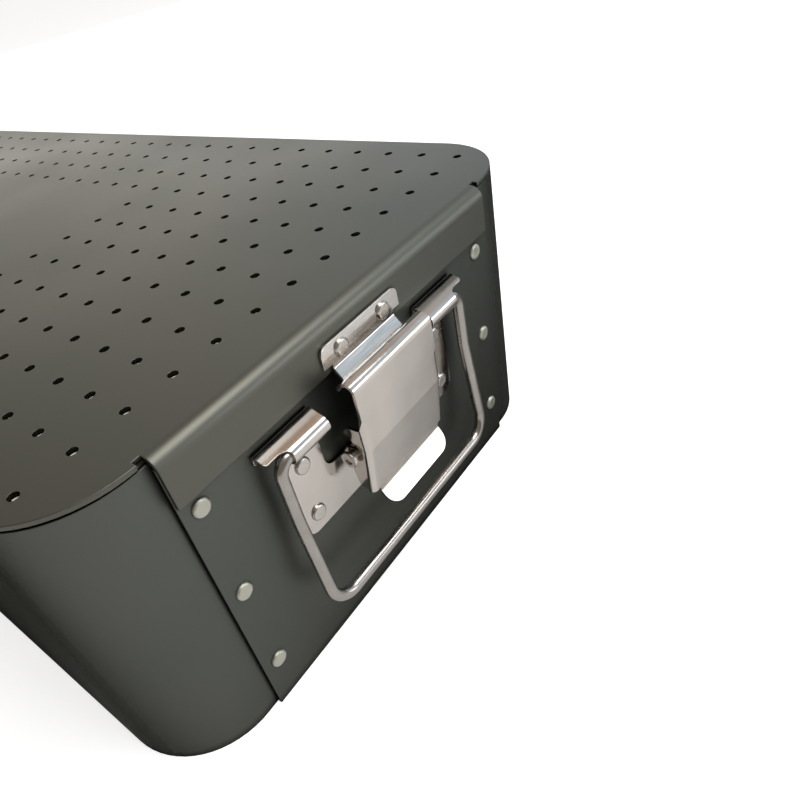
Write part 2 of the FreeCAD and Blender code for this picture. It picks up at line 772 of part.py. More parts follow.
def rivet_group(name, angle, face_x, places, grip):
    group = doc.addObject("Part::Feature", name)
    group.Shape = Part.makeCompound([
        rivet_shape(float(face_x), float(y), float(z), float(grip)) for y, z in places])
    turned(group, angle)
    keep(name, group)


# Rivets: three at each edge of an end panel, four in a handle plate, two in a keeper
def rivets():
    low = cell["wall_rivet_low"]
    high = lid_top - cell["wall_rivet_top"]
    column = panel_half - cell["wall_rivet_inset"]
    wall_places = [(side * float(column), z)
                   for side in (-1, 1) for z in (low, (low + high) / 2, high)]
    plate_places = [(side * float(cell["plate_rivet_offset"]), lid_top - cell[down])
                    for side in (-1, 1) for down in ("plate_rivet_top", "plate_rivet_low")]
    keeper_places = [(side * float(cell["keeper_rivet_offset"]),
                      lid_top - cell["keeper_rivet_down"]) for side in (-1, 1)]
    for end, angle in ENDS.items():
        rivet_group(f"wall_rivets_{end}", angle, panel_face, wall_places,
                    cell["end_sheet"] + cell["side_sheet"])
        rivet_group(f"handle_rivets_{end}", angle, panel_face + steel, plate_places,
                    cell["end_sheet"] + steel)
        rivet_group(f"keeper_rivets_{end}", angle, flange_face + steel, keeper_places,
                    cell["lid_sheet"] + steel)


# Keeper: riveted flat to the lid's flange, its tongue bent out under the latch
def keepers():
    fold = lid_top - cell["keeper_fold"]
    top = lid_top - cell["keeper_top"]
    middle = flange_face + half_steel
    bend = cell["steel_bend"]
    tongue_section = band([
        (middle, fold + cell["keeper_corner"], 0), (middle, fold, bend),
        (panel_face + cell["tongue_out"], lid_top - cell["tongue_down"], bend),
        (panel_face + cell["tip_out"], lid_top - cell["tip_down"], 0)], float(steel))
    half_width = cell["keeper_width"] / 2
    for end, angle in ENDS.items():
        name = f"keeper_{end}"
        flat = new_body(f"{name}_flat")
        face = outline(flat, f"{name}_face", "YZ_Plane",
                       [rectangle(-half_width, fold + bend, half_width, top)], flange_face)
        plate = pad(flat, f"{name}_plate", face, steel)
        round_edges(flat, f"{name}_corners", plate, cell["keeper_corner"],
                    lambda middle, along: abs(along.x) > 0.99 and middle.z > float(top) - 0.01)
        tongue = extrusion(f"{name}_tongue", tongue_section, -cell["keeper_tongue"] / 2,
                           cell["keeper_tongue"] / 2)
        whole = fused(f"{name}_whole", [flat, tongue])
        turned(whole, angle)
        keep(name, whole)


axis_x = panel_face + cell["wire_out"]
axis_z = lid_top - cell["wire_down"]
pin_x = panel_face + cell["pin_out"]
pin_z = lid_top - cell["pin_down"]


def knuckle_path():
    """Mid-line of the rolled edge: up the wall, over the top and round the wire."""
    roll = cell["wire_radius"] + cell["wire_clear"] + half_steel
    back = panel_face + half_steel
    slope = math.radians(float(cell["knuckle_slope"]))

    def on_slope(x, radius):
        """The corner at x of the line that falls outwards and touches the roll."""
        return (x, axis_z + (roll - (x - axis_x) * math.sin(slope)) / math.cos(slope), radius)

    start = (back, lid_top - cell["plate_fold"], 0)
    crest = on_slope(back, cell["knuckle_bend"])
    front = on_slope(axis_x + roll, roll)
    under = (axis_x + roll, axis_z - roll, roll)
    free_edge = (axis_x - half_steel, axis_z - roll, 0)
    hood_edge = on_slope(panel_face + cell["hood_reach"], 0)
    return [start, crest, front, under, free_edge], [start, crest, hood_edge]


# Handle plate: one sheet, rolled into two knuckles with open hoods, and two bent ears
def handle_plates():
    low = lid_top - cell["plate_down"]
    fold = lid_top - cell["plate_fold"]
    gap_low = lid_top - cell["cutout_down"]
    half = cell["plate_width"] / 2
    gap = cell["cutout_width"] / 2
    tube_end = gap + cell["knuckle_width"]
    tube_path, hood_path = knuckle_path()
    ear_low = cell["cover_width"] / 2 + cell["ear_gap"]
    root_x = panel_face + half_steel
    ear_top = lid_top - cell["ear_top_down"]
    ear_tip = panel_face + cell["ear_top_out"]
    ear = polygon_face([
        (root_x, gap_low), (root_x, gap_low - cell["ear_root"]),
        (panel_face + cell["ear_foot_out"], lid_top - cell["ear_foot_down"]),
        (panel_face + cell["ear_front_out"], lid_top - cell["ear_front_down"]),
        (ear_tip, ear_top), (ear_tip - cell["ear_top_length"], ear_top)])
    for end, angle in ENDS.items():
        name = f"handle_plate_{end}"
        flat = new_body(f"{name}_flat")
        face = outline(flat, f"{name}_face", "YZ_Plane", [[
            (-half, low), (half, low), (half, fold), (gap, fold), (gap, gap_low),
            (-gap, gap_low), (-gap, fold), (-half, fold)]], panel_face)
        plate = pad(flat, f"{name}_sheet", face, steel)
        plate = round_edges(flat, f"{name}_corners", plate, cell["plate_corner"],
                            lambda middle, along: abs(along.x) > 0.99
                            and near_any(middle.y, middle.z, [(half, low), (-half, low)]))
        round_edges(flat, f"{name}_gap_corners", plate, cell["cutout_corner"],
                    lambda middle, along: abs(along.x) > 0.99
                    and near_any(middle.y, middle.z, [(gap, gap_low), (-gap, gap_low)]))
        formed = [flat]
        for side, letter in ((1, "a"), (-1, "b")):
            formed += [
                reflected(f"{name}_tube_{letter}", band(tube_path, float(steel)), gap, tube_end,
                          side),
                reflected(f"{name}_hood_{letter}", band(hood_path, float(steel)), tube_end,
                          tube_end + cell["hood_width"], side),
                reflected(f"{name}_ear_{letter}", ear, ear_low, ear_low + steel, side)]
        whole = fused(f"{name}_whole", formed)
        bore = round_hole(f"{name}_pin_bore", (pin_x, -ear_low - steel * 2, pin_z), "y",
                          cell["pin_radius"] + cell["bore_clear"], (ear_low + steel * 2) * 2)
        finished = cut(f"{name}_bored", whole, bore)
        turned(finished, angle)
        keep(name, finished)


def reflected(name, face, low_y, high_y, side):
    """A section drawn out on the +Y side, or on the -Y side when side is -1."""
    if side > 0:
        return extrusion(name, face, low_y, high_y)
    return extrusion(name, face, -high_y, -low_y)


# Bail: one bent wire, its tails turned in towards each other inside the knuckles
def bails():
    arm_y = float(cell["bail_width"]) / 2
    x, z = float(axis_x), float(axis_z)
    kink = (float(panel_face + cell["bail_kink_out"]), z - float(cell["bail_kink_down"]))
    bar = (float(panel_face + cell["bail_bar_out"]), z - float(cell["bail_drop"]))
    tail = float(cell["bail_tail"])
    corners = [
        (Vector(x, -tail, z), 0),
        (Vector(x, -arm_y, z), cell["bail_shoulder"]),
        (Vector(kink[0], -arm_y, kink[1]), cell["bail_kink_bend"]),
        (Vector(bar[0], -arm_y, bar[1]), cell["bail_corner"]),
        (Vector(bar[0], arm_y, bar[1]), cell["bail_corner"]),
        (Vector(kink[0], arm_y, kink[1]), cell["bail_kink_bend"]),
        (Vector(x, arm_y, z), cell["bail_shoulder"]),
        (Vector(x, tail, z), 0)]
    for end, angle in ENDS.items():
        name = f"bail_{end}"
        route = doc.addObject("Part::Feature", f"{name}_route")
        route.Shape = wire_route(corners)
        section = doc.addObject("Part::RegularPolygon", f"{name}_section")
        section.Polygon = ROUND_SIDES
        section.Circumradius = float(cell["wire_radius"])
        section.Placement = Placement(corners[0][0], Rotation(Vector(1, 0, 0), 90))
        bind(section, "Circumradius", cell["wire_radius"])
        doc.recompute()
        bent = doc.addObject("Part::Sweep", f"{name}_wire")
        bent.Sections = [section]
        bent.Spine = (route, [f"Edge{number + 1}" for number in range(len(route.Shape.Edges))])
        bent.Solid = True
        bent.Frenet = False
        bent.Transition = "Right corner"
        turned(bent, angle)
        keep(name, bent)


def wire_route(corners):
    """Straight runs; each bend between them is a few short runs that touch its arc."""
    stops = [corners[0][0]]
    for number in range(1, len(corners) - 1):
        point, radius = corners[number][0], float(corners[number][1])
        before = (point - corners[number - 1][0]).normalize()
        after = (corners[number + 1][0] - point).normalize()
        turn = before.getAngle(after)
        inwards = (after - before).normalize()
        centre = point + inwards * (radius / math.cos(turn / 2))
        outwards = (point - before * (radius * math.tan(turn / 2)) - centre).normalize()
        steps = max(1, round(turn / BEND_STEP))
        reach = radius / math.cos(turn / steps / 2)
        for step in range(steps):
            angle = turn * (step + 0.5) / steps
            stops.append(centre + (outwards * math.cos(angle) + before * math.sin(angle)) * reach)
    stops.append(corners[-1][0])
    return Part.makePolygon(stops)


# Latch cover: rolled over at the top to hook the keeper, flared below into a thumb tab
def latch_covers():
    face_x = panel_face + cell["cover_out"] - half_steel
    roll = cell["curl_radius"] - half_steel
    curl_z = lid_top - cell["curl_down"]
    crest = curl_z + roll
    rear_x = face_x - roll * 2
    waist_x = panel_face + cell["waist_out"] - half_steel
    waist_z = lid_top - cell["waist_down"]
    tab_x = panel_face + cell["tab_out"] - half_steel
    tab_z = lid_top - cell["tab_down"]
    crease_z = lid_top - cell["crease_down"]
    shoulder_z = lid_top - cell["shoulder_down"]
    shoulder_x = face_x + (waist_x - face_x) * ((crease_z - shoulder_z) / (crease_z - waist_z))
    crease = (face_x, crease_z, cell["steel_bend"])
    face_section = band([
        (rear_x, curl_z, 0), (rear_x, crest, roll), (face_x, crest, roll), crease,
        (shoulder_x, shoulder_z, 0)], float(steel))
    tab_section = band([
        (face_x, crease_z + cell["steel_bend"], 0), crease,
        (waist_x, waist_z, cell["steel_bend"]), (tab_x, tab_z, 0)], float(steel))
    half = cell["cover_width"] / 2
    tab_half = cell["tab_width"] / 2
    cheek_top = lid_top - cell["cheek_top"]
    cheek_x = panel_face + cell["cheek_out"]
    lobe_x = panel_face + cell["cheek_lobe_out"]
    cheek = polygon_face([
        (face_x, lid_top - cell["cheek_rise"]), (panel_face + cell["cheek_step"], cheek_top),
        (cheek_x + cell["cheek_bevel"], cheek_top), (cheek_x, cheek_top - cell["cheek_bevel"]),
        (lobe_x, pin_z + cell["cheek_lobe"] / 2), (lobe_x, pin_z - cell["cheek_lobe"] / 2),
        (cheek_x, lid_top - cell["cheek_heel"]),
        (panel_face + cell["cheek_foot_out"], lid_top - cell["cheek_foot_down"]),
        (shoulder_x, shoulder_z), (face_x, crease_z)])

    def at_tab_corner(middle, length):
        beside = abs(abs(middle.y) - float(tab_half)) < 0.01
        low = abs(middle.z - float(tab_z)) < float(steel)
        return beside and low and length < float(steel) * 1.01

    for end, angle in ENDS.items():
        name = f"latch_cover_{end}"
        front = extrusion(f"{name}_front", face_section, -half, half)
        tab = extrusion(f"{name}_tab", tab_section, -tab_half, tab_half)
        cheeks = [
            reflected(f"{name}_cheek_{letter}", cheek, half - steel, half, side)
            for side, letter in ((1, "a"), (-1, "b"))]
        whole = fused(f"{name}_whole", [front, tab] + cheeks)
        bore = round_hole(f"{name}_pin_bore", (pin_x, -half - past, pin_z), "y",
                          cell["pin_radius"] + cell["bore_clear"], (half + past) * 2)
        bored = cut(f"{name}_bored", whole, bore)
        trimmed = rounded(f"{name}_trimmed", bored, cell["tab_corner"], at_tab_corner)
        turned(trimmed, angle)
        keep(name, trimmed)


# Latch pin: through the ears and the cover's side flanges, a head at each end
def latch_pins():
    ear_out = cell["cover_width"] / 2 + cell["ear_gap"] + steel
    for end, angle in ENDS.items():
        name = f"latch_pin_{end}"
        head = cell["pin_head_length"]
        shank = round_bar(f"{name}_shank", (pin_x, -ear_out, pin_z), "y", cell["pin_radius"],
                          ear_out * 2)
        heads = [round_bar(f"{name}_head_{letter}", (pin_x, foot, pin_z), "y", cell["pin_head"],
                           head)
                 for foot, letter in ((ear_out, "a"), (-ear_out - head, "b"))]
        whole = fused(f"{name}_whole", [shank] + heads)
        turned(whole, angle)
        keep(name, whole)


# Torsion spring: a close coil round the pin, one leg on the plate and one to the cover
def latch_springs():
    inner = cell["pin_radius"] + cell["spring_play"]
    outer = inner + cell["spring_wire"] * 2
    half = cell["spring_length"] / 2
    leg_offset = inner + cell["spring_wire"]
    leg_start = cell["spring_wire"] * 2
    for end, angle in ENDS.items():
        name = f"latch_spring_{end}"
        coil = round_bar(f"{name}_coil", (pin_x, -half, pin_z), "y", outer, half * 2)
        wall_leg = round_bar(f"{name}_wall_leg",
                             (pin_x - leg_offset, -half + cell["spring_leg_inset"],
                              pin_z - cell["spring_leg"]), "z",
                             cell["spring_wire"], cell["spring_leg"] - leg_start)
        cover_leg = round_bar(f"{name}_cover_leg",
                              (pin_x + leg_offset, half - cell["spring_leg_inset"],
                               pin_z + leg_start), "z",
                              cell["spring_wire"], cell["spring_leg"] - leg_start)
        whole = fused(f"{name}_whole", [coil, wall_leg, cover_leg])
        bore = round_hole(f"{name}_bore", (pin_x, -half - past, pin_z), "y", inner,
                          (half + past) * 2)
        finished = cut(f"{name}_hollow", whole, bore)
        turned(finished, angle)
        keep(name, finished)


for make in (lid_shell, side_walls, end_panels, bottom_pan, rim_frame, lid_seal, filter_sheet,
             retention_plate, filter_studs, filter_knobs, rivets, keepers, handle_plates, bails,
             latch_covers, latch_pins, latch_springs):
    make()

doc.recompute()
for thing in doc.Objects:
    if {"Invalid", "Error"} & set(thing.State):
        raise RuntimeError(f"{thing.Label} did not compute: {thing.State}")
for name, piece in pieces.items():
    if piece.Shape.isNull() or not piece.Shape.isValid():
        raise RuntimeError(f"{name} has no valid shape")

os.makedirs("parts", exist_ok=True)
for name, piece in pieces.items():
    piece.Shape.exportStep(f"parts/{name}.step")
    box = piece.Shape.BoundBox
    print(f"{name}: {len(piece.Shape.Solids)} solids, {piece.Shape.Volume:.1f} mm3, "
          f"x {box.XMin:.1f}..{box.XMax:.1f}, y {box.YMin:.1f}..{box.YMax:.1f}, "
          f"z {box.ZMin:.1f}..{box.ZMax:.1f}")
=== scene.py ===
import bpy
import bmesh
import math
from mathutils import Matrix, Vector


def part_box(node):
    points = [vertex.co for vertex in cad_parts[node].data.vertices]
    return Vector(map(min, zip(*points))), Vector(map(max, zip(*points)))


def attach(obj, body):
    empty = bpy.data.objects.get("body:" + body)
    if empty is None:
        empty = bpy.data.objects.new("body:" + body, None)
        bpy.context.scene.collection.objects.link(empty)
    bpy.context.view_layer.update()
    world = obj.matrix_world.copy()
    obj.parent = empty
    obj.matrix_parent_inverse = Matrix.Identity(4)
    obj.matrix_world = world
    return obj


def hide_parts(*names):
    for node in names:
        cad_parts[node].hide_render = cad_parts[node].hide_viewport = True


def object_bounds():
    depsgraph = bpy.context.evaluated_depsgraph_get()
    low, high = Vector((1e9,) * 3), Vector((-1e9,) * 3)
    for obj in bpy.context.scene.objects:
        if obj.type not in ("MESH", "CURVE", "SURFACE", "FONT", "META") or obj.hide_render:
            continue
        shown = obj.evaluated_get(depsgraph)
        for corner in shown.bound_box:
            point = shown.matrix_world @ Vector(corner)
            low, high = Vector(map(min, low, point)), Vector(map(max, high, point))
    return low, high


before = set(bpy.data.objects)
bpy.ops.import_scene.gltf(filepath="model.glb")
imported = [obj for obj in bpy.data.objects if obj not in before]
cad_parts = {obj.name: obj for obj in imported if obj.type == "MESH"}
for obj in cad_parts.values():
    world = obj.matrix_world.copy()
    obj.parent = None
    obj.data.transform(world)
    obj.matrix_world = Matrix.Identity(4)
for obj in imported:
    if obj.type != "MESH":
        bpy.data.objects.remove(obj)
cad_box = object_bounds()
MM = 0.001

# Camera
# A phone held above the right front corner, close to the box, so that the two long
# edges run together quickly. Its directions are given as the photograph shows them.
PICTURE = 800
FOCAL_PIXELS = 670.7
CAMERA_PLACE = Vector((0.4450, -0.1489, 0.2501))
CAMERA_RIGHT = Vector((0.7716, 0.6002, -0.2109))
CAMERA_FORWARD = Vector((-0.5825, 0.5332, -0.6135))
CAMERA_SHIFT = (0.0625, 0.0125)

bpy.ops.object.camera_add(location=CAMERA_PLACE)
camera = bpy.context.object
camera_back = -CAMERA_FORWARD.normalized()
camera_up = camera_back.cross(CAMERA_RIGHT).normalized()
camera_side = camera_up.cross(camera_back)
camera.rotation_euler = Matrix((camera_side, camera_up, camera_back)).transposed().to_euler()
camera.data.lens = camera.data.sensor_width * FOCAL_PIXELS / PICTURE
camera.data.shift_x, camera.data.shift_y = CAMERA_SHIFT
camera.data.clip_start = 0.01
bpy.context.scene.camera = camera
bpy.context.scene.view_settings.view_transform = "Standard"


# Floor, background and light
# A white sweep with a low window at the box's right end, a soft lamp above it and a row
# of far windows beyond the left end. The room is warm overhead and dim behind the camera.
FLOOR_SIZE = 30
FLOOR_COLOUR = "#E9E9E8"
FLOOR_LIFT = 0.75
FLOOR_LIFT_MIRRORED = 0.3
# Painted shade: glossy rays see the floor's colour and glow scaled down to the low factor on the
# box's side of a slanting line near its right end.
FLOOR_PAINTED_SHADE_SIDE = (1, -0.6, 0)
FLOOR_PAINTED_SHADE_RANGE = (0.24, 0.39)
FLOOR_PAINTED_SHADE_LOW = 0.15
ROOM_STRENGTH = 0.5
ROOM_BRIGHT_SIDE = Vector((0, 1, 0))
ROOM_BRIGHT_RANGE = (-0.05, 0.6)
ROOM_TOP_RANGE = (0.55, 0.9)
ROOM_COOL_RANGE = (-0.9, -0.45)
ROOM_DIM_COLOUR = "#9A958C"
ROOM_WARM_COLOUR = "#EFE7D4"
ROOM_COOL_COLOUR = "#D8E6F2"
ROOM_TOP_COLOUR = "#C8AF98"
WINDOW_DIRECTION = Vector((0.82, 0.54, 0.19))
WINDOW_DISTANCE = 1.6
WINDOW_SIZE = (0.8, 0.42)
WINDOW_POWER = 3.4
CEILING_DIRECTION = Vector((0.45, 0.21, 0.87))
CEILING_DISTANCE = 2.0
CEILING_SIZE = (1.2, 1.2)
CEILING_POWER = 25
FAR_DIRECTION = Vector((-0.82, 0.57, 0.15))
FAR_DISTANCE = 2.6
FAR_SIZE = (3.0, 0.5)
FAR_POWER = 10


def linear(hex_colour):
    """sRGB hex to the linear colour that a shader takes."""
    values = [int(hex_colour[i:i + 2], 16) / 255 for i in (1, 3, 5)]
    return [v / 12.92 if v <= 0.04045 else ((v + 0.055) / 1.055) ** 2.4 for v in values] + [1]


def add_node(tree, kind, settings=(), links=()):
    """Adds a shader node, with its settings and the sockets that feed it."""
    node = tree.nodes.new(kind)
    for name, value in settings:
        if isinstance(name, str) and hasattr(node, name):
            setattr(node, name, value)
        else:
            node.inputs[name].default_value = value
    for name, socket in links:
        tree.links.new(socket, node.inputs[name])
    return node


def blank_tree(owner):
    owner.use_nodes = True
    owner.node_tree.nodes.clear()
    return owner.node_tree


world = bpy.data.worlds.new("room")
bpy.context.scene.world = world
room = blank_tree(world)
ray = add_node(room, "ShaderNodeLightPath")
mirrored = add_node(room, "ShaderNodeMath", [("operation", "MAXIMUM")],
                    [(0, ray.outputs["Is Glossy Ray"]), (1, ray.outputs["Is Transmission Ray"])])
seen = add_node(room, "ShaderNodeMath", [("operation", "MAXIMUM")],
                [(0, mirrored.outputs[0]), (1, ray.outputs["Is Camera Ray"])])
way = add_node(room, "ShaderNodeTexCoord")
slant = add_node(room, "ShaderNodeVectorMath", [("operation", "DOT_PRODUCT"),
                                                (1, ROOM_BRIGHT_SIDE)],
                 [(0, way.outputs["Generated"])])
bright = add_node(room, "ShaderNodeMapRange", [("interpolation_type", "SMOOTHSTEP"),
                                               ("From Min", ROOM_BRIGHT_RANGE[0]),
                                               ("From Max", ROOM_BRIGHT_RANGE[1])],
                  [("Value", slant.outputs["Value"])])
bright = add_node(room, "ShaderNodeMath", [("operation", "MAXIMUM")],
                  [(0, bright.outputs[0]), (1, ray.outputs["Is Camera Ray"])])
parts = add_node(room, "ShaderNodeSeparateXYZ", (), [(0, way.outputs["Generated"])])
overhead = add_node(room, "ShaderNodeMapRange", [("interpolation_type", "SMOOTHSTEP"),
                                                 ("From Min", ROOM_TOP_RANGE[0]),
                                                 ("From Max", ROOM_TOP_RANGE[1])],
                    [("Value", parts.outputs["Z"])])
rightwards = add_node(room, "ShaderNodeMapRange", [("From Min", ROOM_COOL_RANGE[0]),
                                                   ("From Max", ROOM_COOL_RANGE[1])],
                      [("Value", parts.outputs["X"])])
horizon = add_node(room, "ShaderNodeMix", [("data_type", "RGBA"), ("A", linear(ROOM_WARM_COLOUR)),
                                           ("B", linear(ROOM_COOL_COLOUR))],
                   [("Factor", rightwards.outputs[0])])
far_side = add_node(room, "ShaderNodeMix", [("data_type", "RGBA"),
                                            ("B", linear(ROOM_TOP_COLOUR))],
                    [("Factor", overhead.outputs[0]), ("A", horizon.outputs["Result"])])
walls = add_node(room, "ShaderNodeMix", [("data_type", "RGBA"), ("A", linear(ROOM_DIM_COLOUR))],
                 [("Factor", bright.outputs[0]), ("B", far_side.outputs["Result"])])
backdrop = add_node(room, "ShaderNodeMix", [("data_type", "RGBA"), ("B", (1, 1, 1, 1))],
                    [("Factor", ray.outputs["Is Camera Ray"]), ("A", walls.outputs["Result"])])
strength = add_node(room, "ShaderNodeMapRange", [("To Min", ROOM_STRENGTH), ("To Max", 1.0)],
                    [("Value", seen.outputs[0])])
glow = add_node(room, "ShaderNodeBackground", (), [("Color", backdrop.outputs["Result"]),
                                                   ("Strength", strength.outputs[0])])
add_node(room, "ShaderNodeOutputWorld", (), [("Surface", glow.outputs[0])])

bpy.ops.mesh.primitive_plane_add(size=FLOOR_SIZE)
floor = bpy.context.object
floor.name = "floor"
paint = bpy.data.materials.new("white_sweep_painted_shade")
tree = blank_tree(paint)
ray = add_node(tree, "ShaderNodeLightPath")
place = add_node(tree, "ShaderNodeTexCoord").outputs["Object"]
# Painted shade: in reflections only, the floor's colour and glow are scaled down on the box's
# side of a slanting line. Camera rays still see it white.
along = add_node(tree, "ShaderNodeVectorMath", [("operation", "DOT_PRODUCT"),
                                                (1, FLOOR_PAINTED_SHADE_SIDE)], [(0, place)])
painted_floor_shade = add_node(tree, "ShaderNodeMapRange", [("interpolation_type", "SMOOTHSTEP"),
                                             ("From Min", FLOOR_PAINTED_SHADE_RANGE[0]),
                                             ("From Max", FLOOR_PAINTED_SHADE_RANGE[1]),
                                             ("To Min", FLOOR_PAINTED_SHADE_LOW)],
                [("Value", along.outputs["Value"])])
mirrored = add_node(tree, "ShaderNodeMath", [("operation", "MULTIPLY")],
                    [(0, ray.outputs["Is Glossy Ray"]), (1, painted_floor_shade.outputs[0])])
mirrored_lift = add_node(tree, "ShaderNodeMath", [("operation", "MULTIPLY"),
                                                  (1, FLOOR_LIFT_MIRRORED)],
                         [(0, mirrored.outputs[0])])
lift = add_node(tree, "ShaderNodeMath", [("operation", "MULTIPLY_ADD"), (1, FLOOR_LIFT)],
                [(0, ray.outputs["Is Camera Ray"]), (2, mirrored_lift.outputs[0])])
shaded_floor_colour = add_node(tree, "ShaderNodeVectorMath", [("operation", "SCALE"),
                                                 (0, linear(FLOOR_COLOUR)[:3])],
                  [("Scale", painted_floor_shade.outputs[0])])
shade = add_node(tree, "ShaderNodeMix", [("data_type", "RGBA"), ("A", linear(FLOOR_COLOUR))],
                 [("Factor", ray.outputs["Is Glossy Ray"]), ("B", shaded_floor_colour.outputs[0])])
coat = add_node(tree, "ShaderNodeBsdfDiffuse", (), [("Color", shade.outputs["Result"])])
glow = add_node(tree, "ShaderNodeEmission", [("Color", (1, 1, 1, 1))],
                [("Strength", lift.outputs[0])])
both = add_node(tree, "ShaderNodeAddShader", (), [(0, coat.outputs[0]), (1, glow.outputs[0])])
add_node(tree, "ShaderNodeOutputMaterial", (), [("Surface", both.outputs[0])])
floor.data.materials.append(paint)


def soft_lamp(name, direction, distance, size, power):
    """A rectangular lamp that faces the middle of the box."""
    place = Vector((0, 0, cad_box[1][2] / 2)) + direction.normalized() * distance
    bpy.ops.object.light_add(type="AREA", location=place)
    lamp = bpy.context.object
    lamp.name = name
    lamp.data.shape = "RECTANGLE"
    lamp.data.size, lamp.data.size_y = size
    lamp.data.energy = power
    lamp.rotation_euler = direction.to_track_quat("Z", "Y").to_euler()


soft_lamp("window", WINDOW_DIRECTION, WINDOW_DISTANCE, WINDOW_SIZE, WINDOW_POWER)
soft_lamp("ceiling", CEILING_DIRECTION, CEILING_DISTANCE, CEILING_SIZE, CEILING_POWER)
soft_lamp("far_windows", FAR_DIRECTION, FAR_DISTANCE, FAR_SIZE, FAR_POWER)


# Lid
# One sheet of hard-anodised aluminium. Both ends are folded down over the end panels
# between relief notches, and round vents in a square grid leave the middle bare.
LID_LOW, LID_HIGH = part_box("lid_shell")
LID_TOP = LID_HIGH.z
PANEL_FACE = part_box("end_panel_right")[1].x
PANEL_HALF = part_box("end_panel_right")[1].y
LID_SHEET = 2 * MM
LID_CORNER = 40 * MM
LID_EDGE = 0.35 * MM
PLATE_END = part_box("side_wall_front")[1].x + 0.5 * MM
FLANGE_BEND = 5.5 * MM
RELIEF_WIDTH = 3 * MM
RELIEF_DEPTH = 1 * MM
VENT_RADIUS = 2 * MM
VENT_SIDES = 20
VENT_EDGE = 0.05 * MM
VENT_PITCH = 20 * MM
VENT_COLUMNS, VENT_ROWS = 28, 13
BLANK_COLUMNS, BLANK_ROWS = 10, 5
CORNER_STEPS = 16
BEND_STEP = math.radians(12)
SHARP_ANGLE = math.radians(45)
SMOOTH_ANGLE = math.radians(35)
SAME_PLACE = 0.02 * MM
SAME_POINT = 0.002 * MM
FLAT_ANGLE = math.radians(0.5)


def sheet_blank(name, centre, size, turn=(0, 0, 0)):
    """A flat blank at its place, alone and in edit mode."""
    bpy.ops.object.select_all(action="DESELECT")
    bpy.ops.mesh.primitive_plane_add(size=1, location=centre, rotation=turn)
    blank = bpy.context.object
    blank.name = blank.data.name = name
    blank.scale = (*size, 1)
    bpy.ops.object.transform_apply(location=True, rotation=True, scale=True)
    bpy.ops.object.mode_set(mode="EDIT")
    return blank


def pick(piece, kind, is_wanted):
    """In edit mode, selects whatever has its middle where is_wanted says."""
    bpy.ops.mesh.select_mode(type=kind)
    bpy.ops.mesh.select_all(action="DESELECT")
    shape = bmesh.from_edit_mesh(piece.data)
    for item in {"VERT": shape.verts, "EDGE": shape.edges, "FACE": shape.faces}[kind]:
        points = [item.co] if kind == "VERT" else [corner.co for corner in item.verts]
        if is_wanted(sum(points, Vector()) / len(points)):
            item.select_set(True)
    shape.select_flush_mode()
    bmesh.update_edit_mesh(piece.data)


def near(value, target):
    return abs(value - target) < SAME_PLACE


def slice_at(place, normal, drop_outer=False):
    """Cuts the whole mesh along a plane, and can drop what lies beyond it."""
    bpy.ops.mesh.select_all(action="SELECT")
    bpy.ops.mesh.bisect(plane_co=place, plane_no=normal, clear_outer=drop_outer)


def move_on(step):
    if step.length > SAME_POINT:
        bpy.ops.mesh.extrude_region_move(TRANSFORM_OT_translate={"value": step})


def carry_on(corners, fineness=BEND_STEP):
    """Draws what is selected on through corners of (place, bend radius)."""
    last = corners[0][0]
    for (before, _), (corner, radius), (after, _) in zip(corners, corners[1:], corners[2:]):
        way_in = (corner - before).normalized()
        way_out = (after - corner).normalized()
        bend = way_in.angle(way_out)
        reach = radius * math.tan(bend / 2)
        move_on(corner - way_in * reach - last)
        inwards = (way_out - way_in).normalized()
        bpy.ops.mesh.spin(steps=max(2, round(bend / fineness)), angle=-bend,
                          center=corner + inwards * (radius / math.cos(bend / 2)),
                          axis=way_in.cross(way_out))
        last = corner + way_out * reach
    move_on(corners[-1][0] - last)


def apply_modifier(piece, kind, **settings):
    modifier = piece.modifiers.new(kind.lower(), kind)
    for name, value in settings.items():
        setattr(modifier, name, value)
    bpy.ops.object.modifier_apply(modifier=modifier.name)


def tidy_mesh():
    """Merges what meets, turns all faces outwards and leaves edit mode."""
    bpy.ops.mesh.select_all(action="SELECT")
    bpy.ops.mesh.remove_doubles(threshold=SAME_POINT)
    bpy.ops.mesh.normals_make_consistent(inside=False)
    bpy.ops.object.mode_set(mode="OBJECT")


def break_edges(piece, width, steps=2):
    apply_modifier(piece, "BEVEL", width=width, segments=steps, limit_method="ANGLE",
                   angle_limit=SHARP_ANGLE, harden_normals=True)


def smooth(piece):
    bpy.ops.object.shade_smooth_by_angle(angle=SMOOTH_ANGLE)
    apply_modifier(piece, "WEIGHTED_NORMAL", keep_sharp=True)


def thicken(piece, sheet, edge):
    """Gives the folded mid-surface its thickness, and breaks the cut edges."""
    tidy_mesh()
    apply_modifier(piece, "SOLIDIFY", thickness=sheet, offset=0, use_even_offset=True)
    break_edges(piece, edge)


def alone(piece):
    bpy.ops.object.select_all(action="DESELECT")
    piece.select_set(True)
    bpy.context.view_layer.objects.active = piece


def join(pieces, name):
    """Makes one piece of several."""
    alone(pieces[0])
    for piece in pieces:
        piece.select_set(True)
    bpy.ops.object.join()
    pieces[0].name = pieces[0].data.name = name
    return pieces[0]


def fit(piece, body, slot, skin, *nodes):
    """Gives a finished piece its material, its body and the CAD nodes it stands for."""
    piece.data.materials.clear()
    piece.data.materials.append(skin)
    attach(piece, body)
    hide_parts(*nodes)


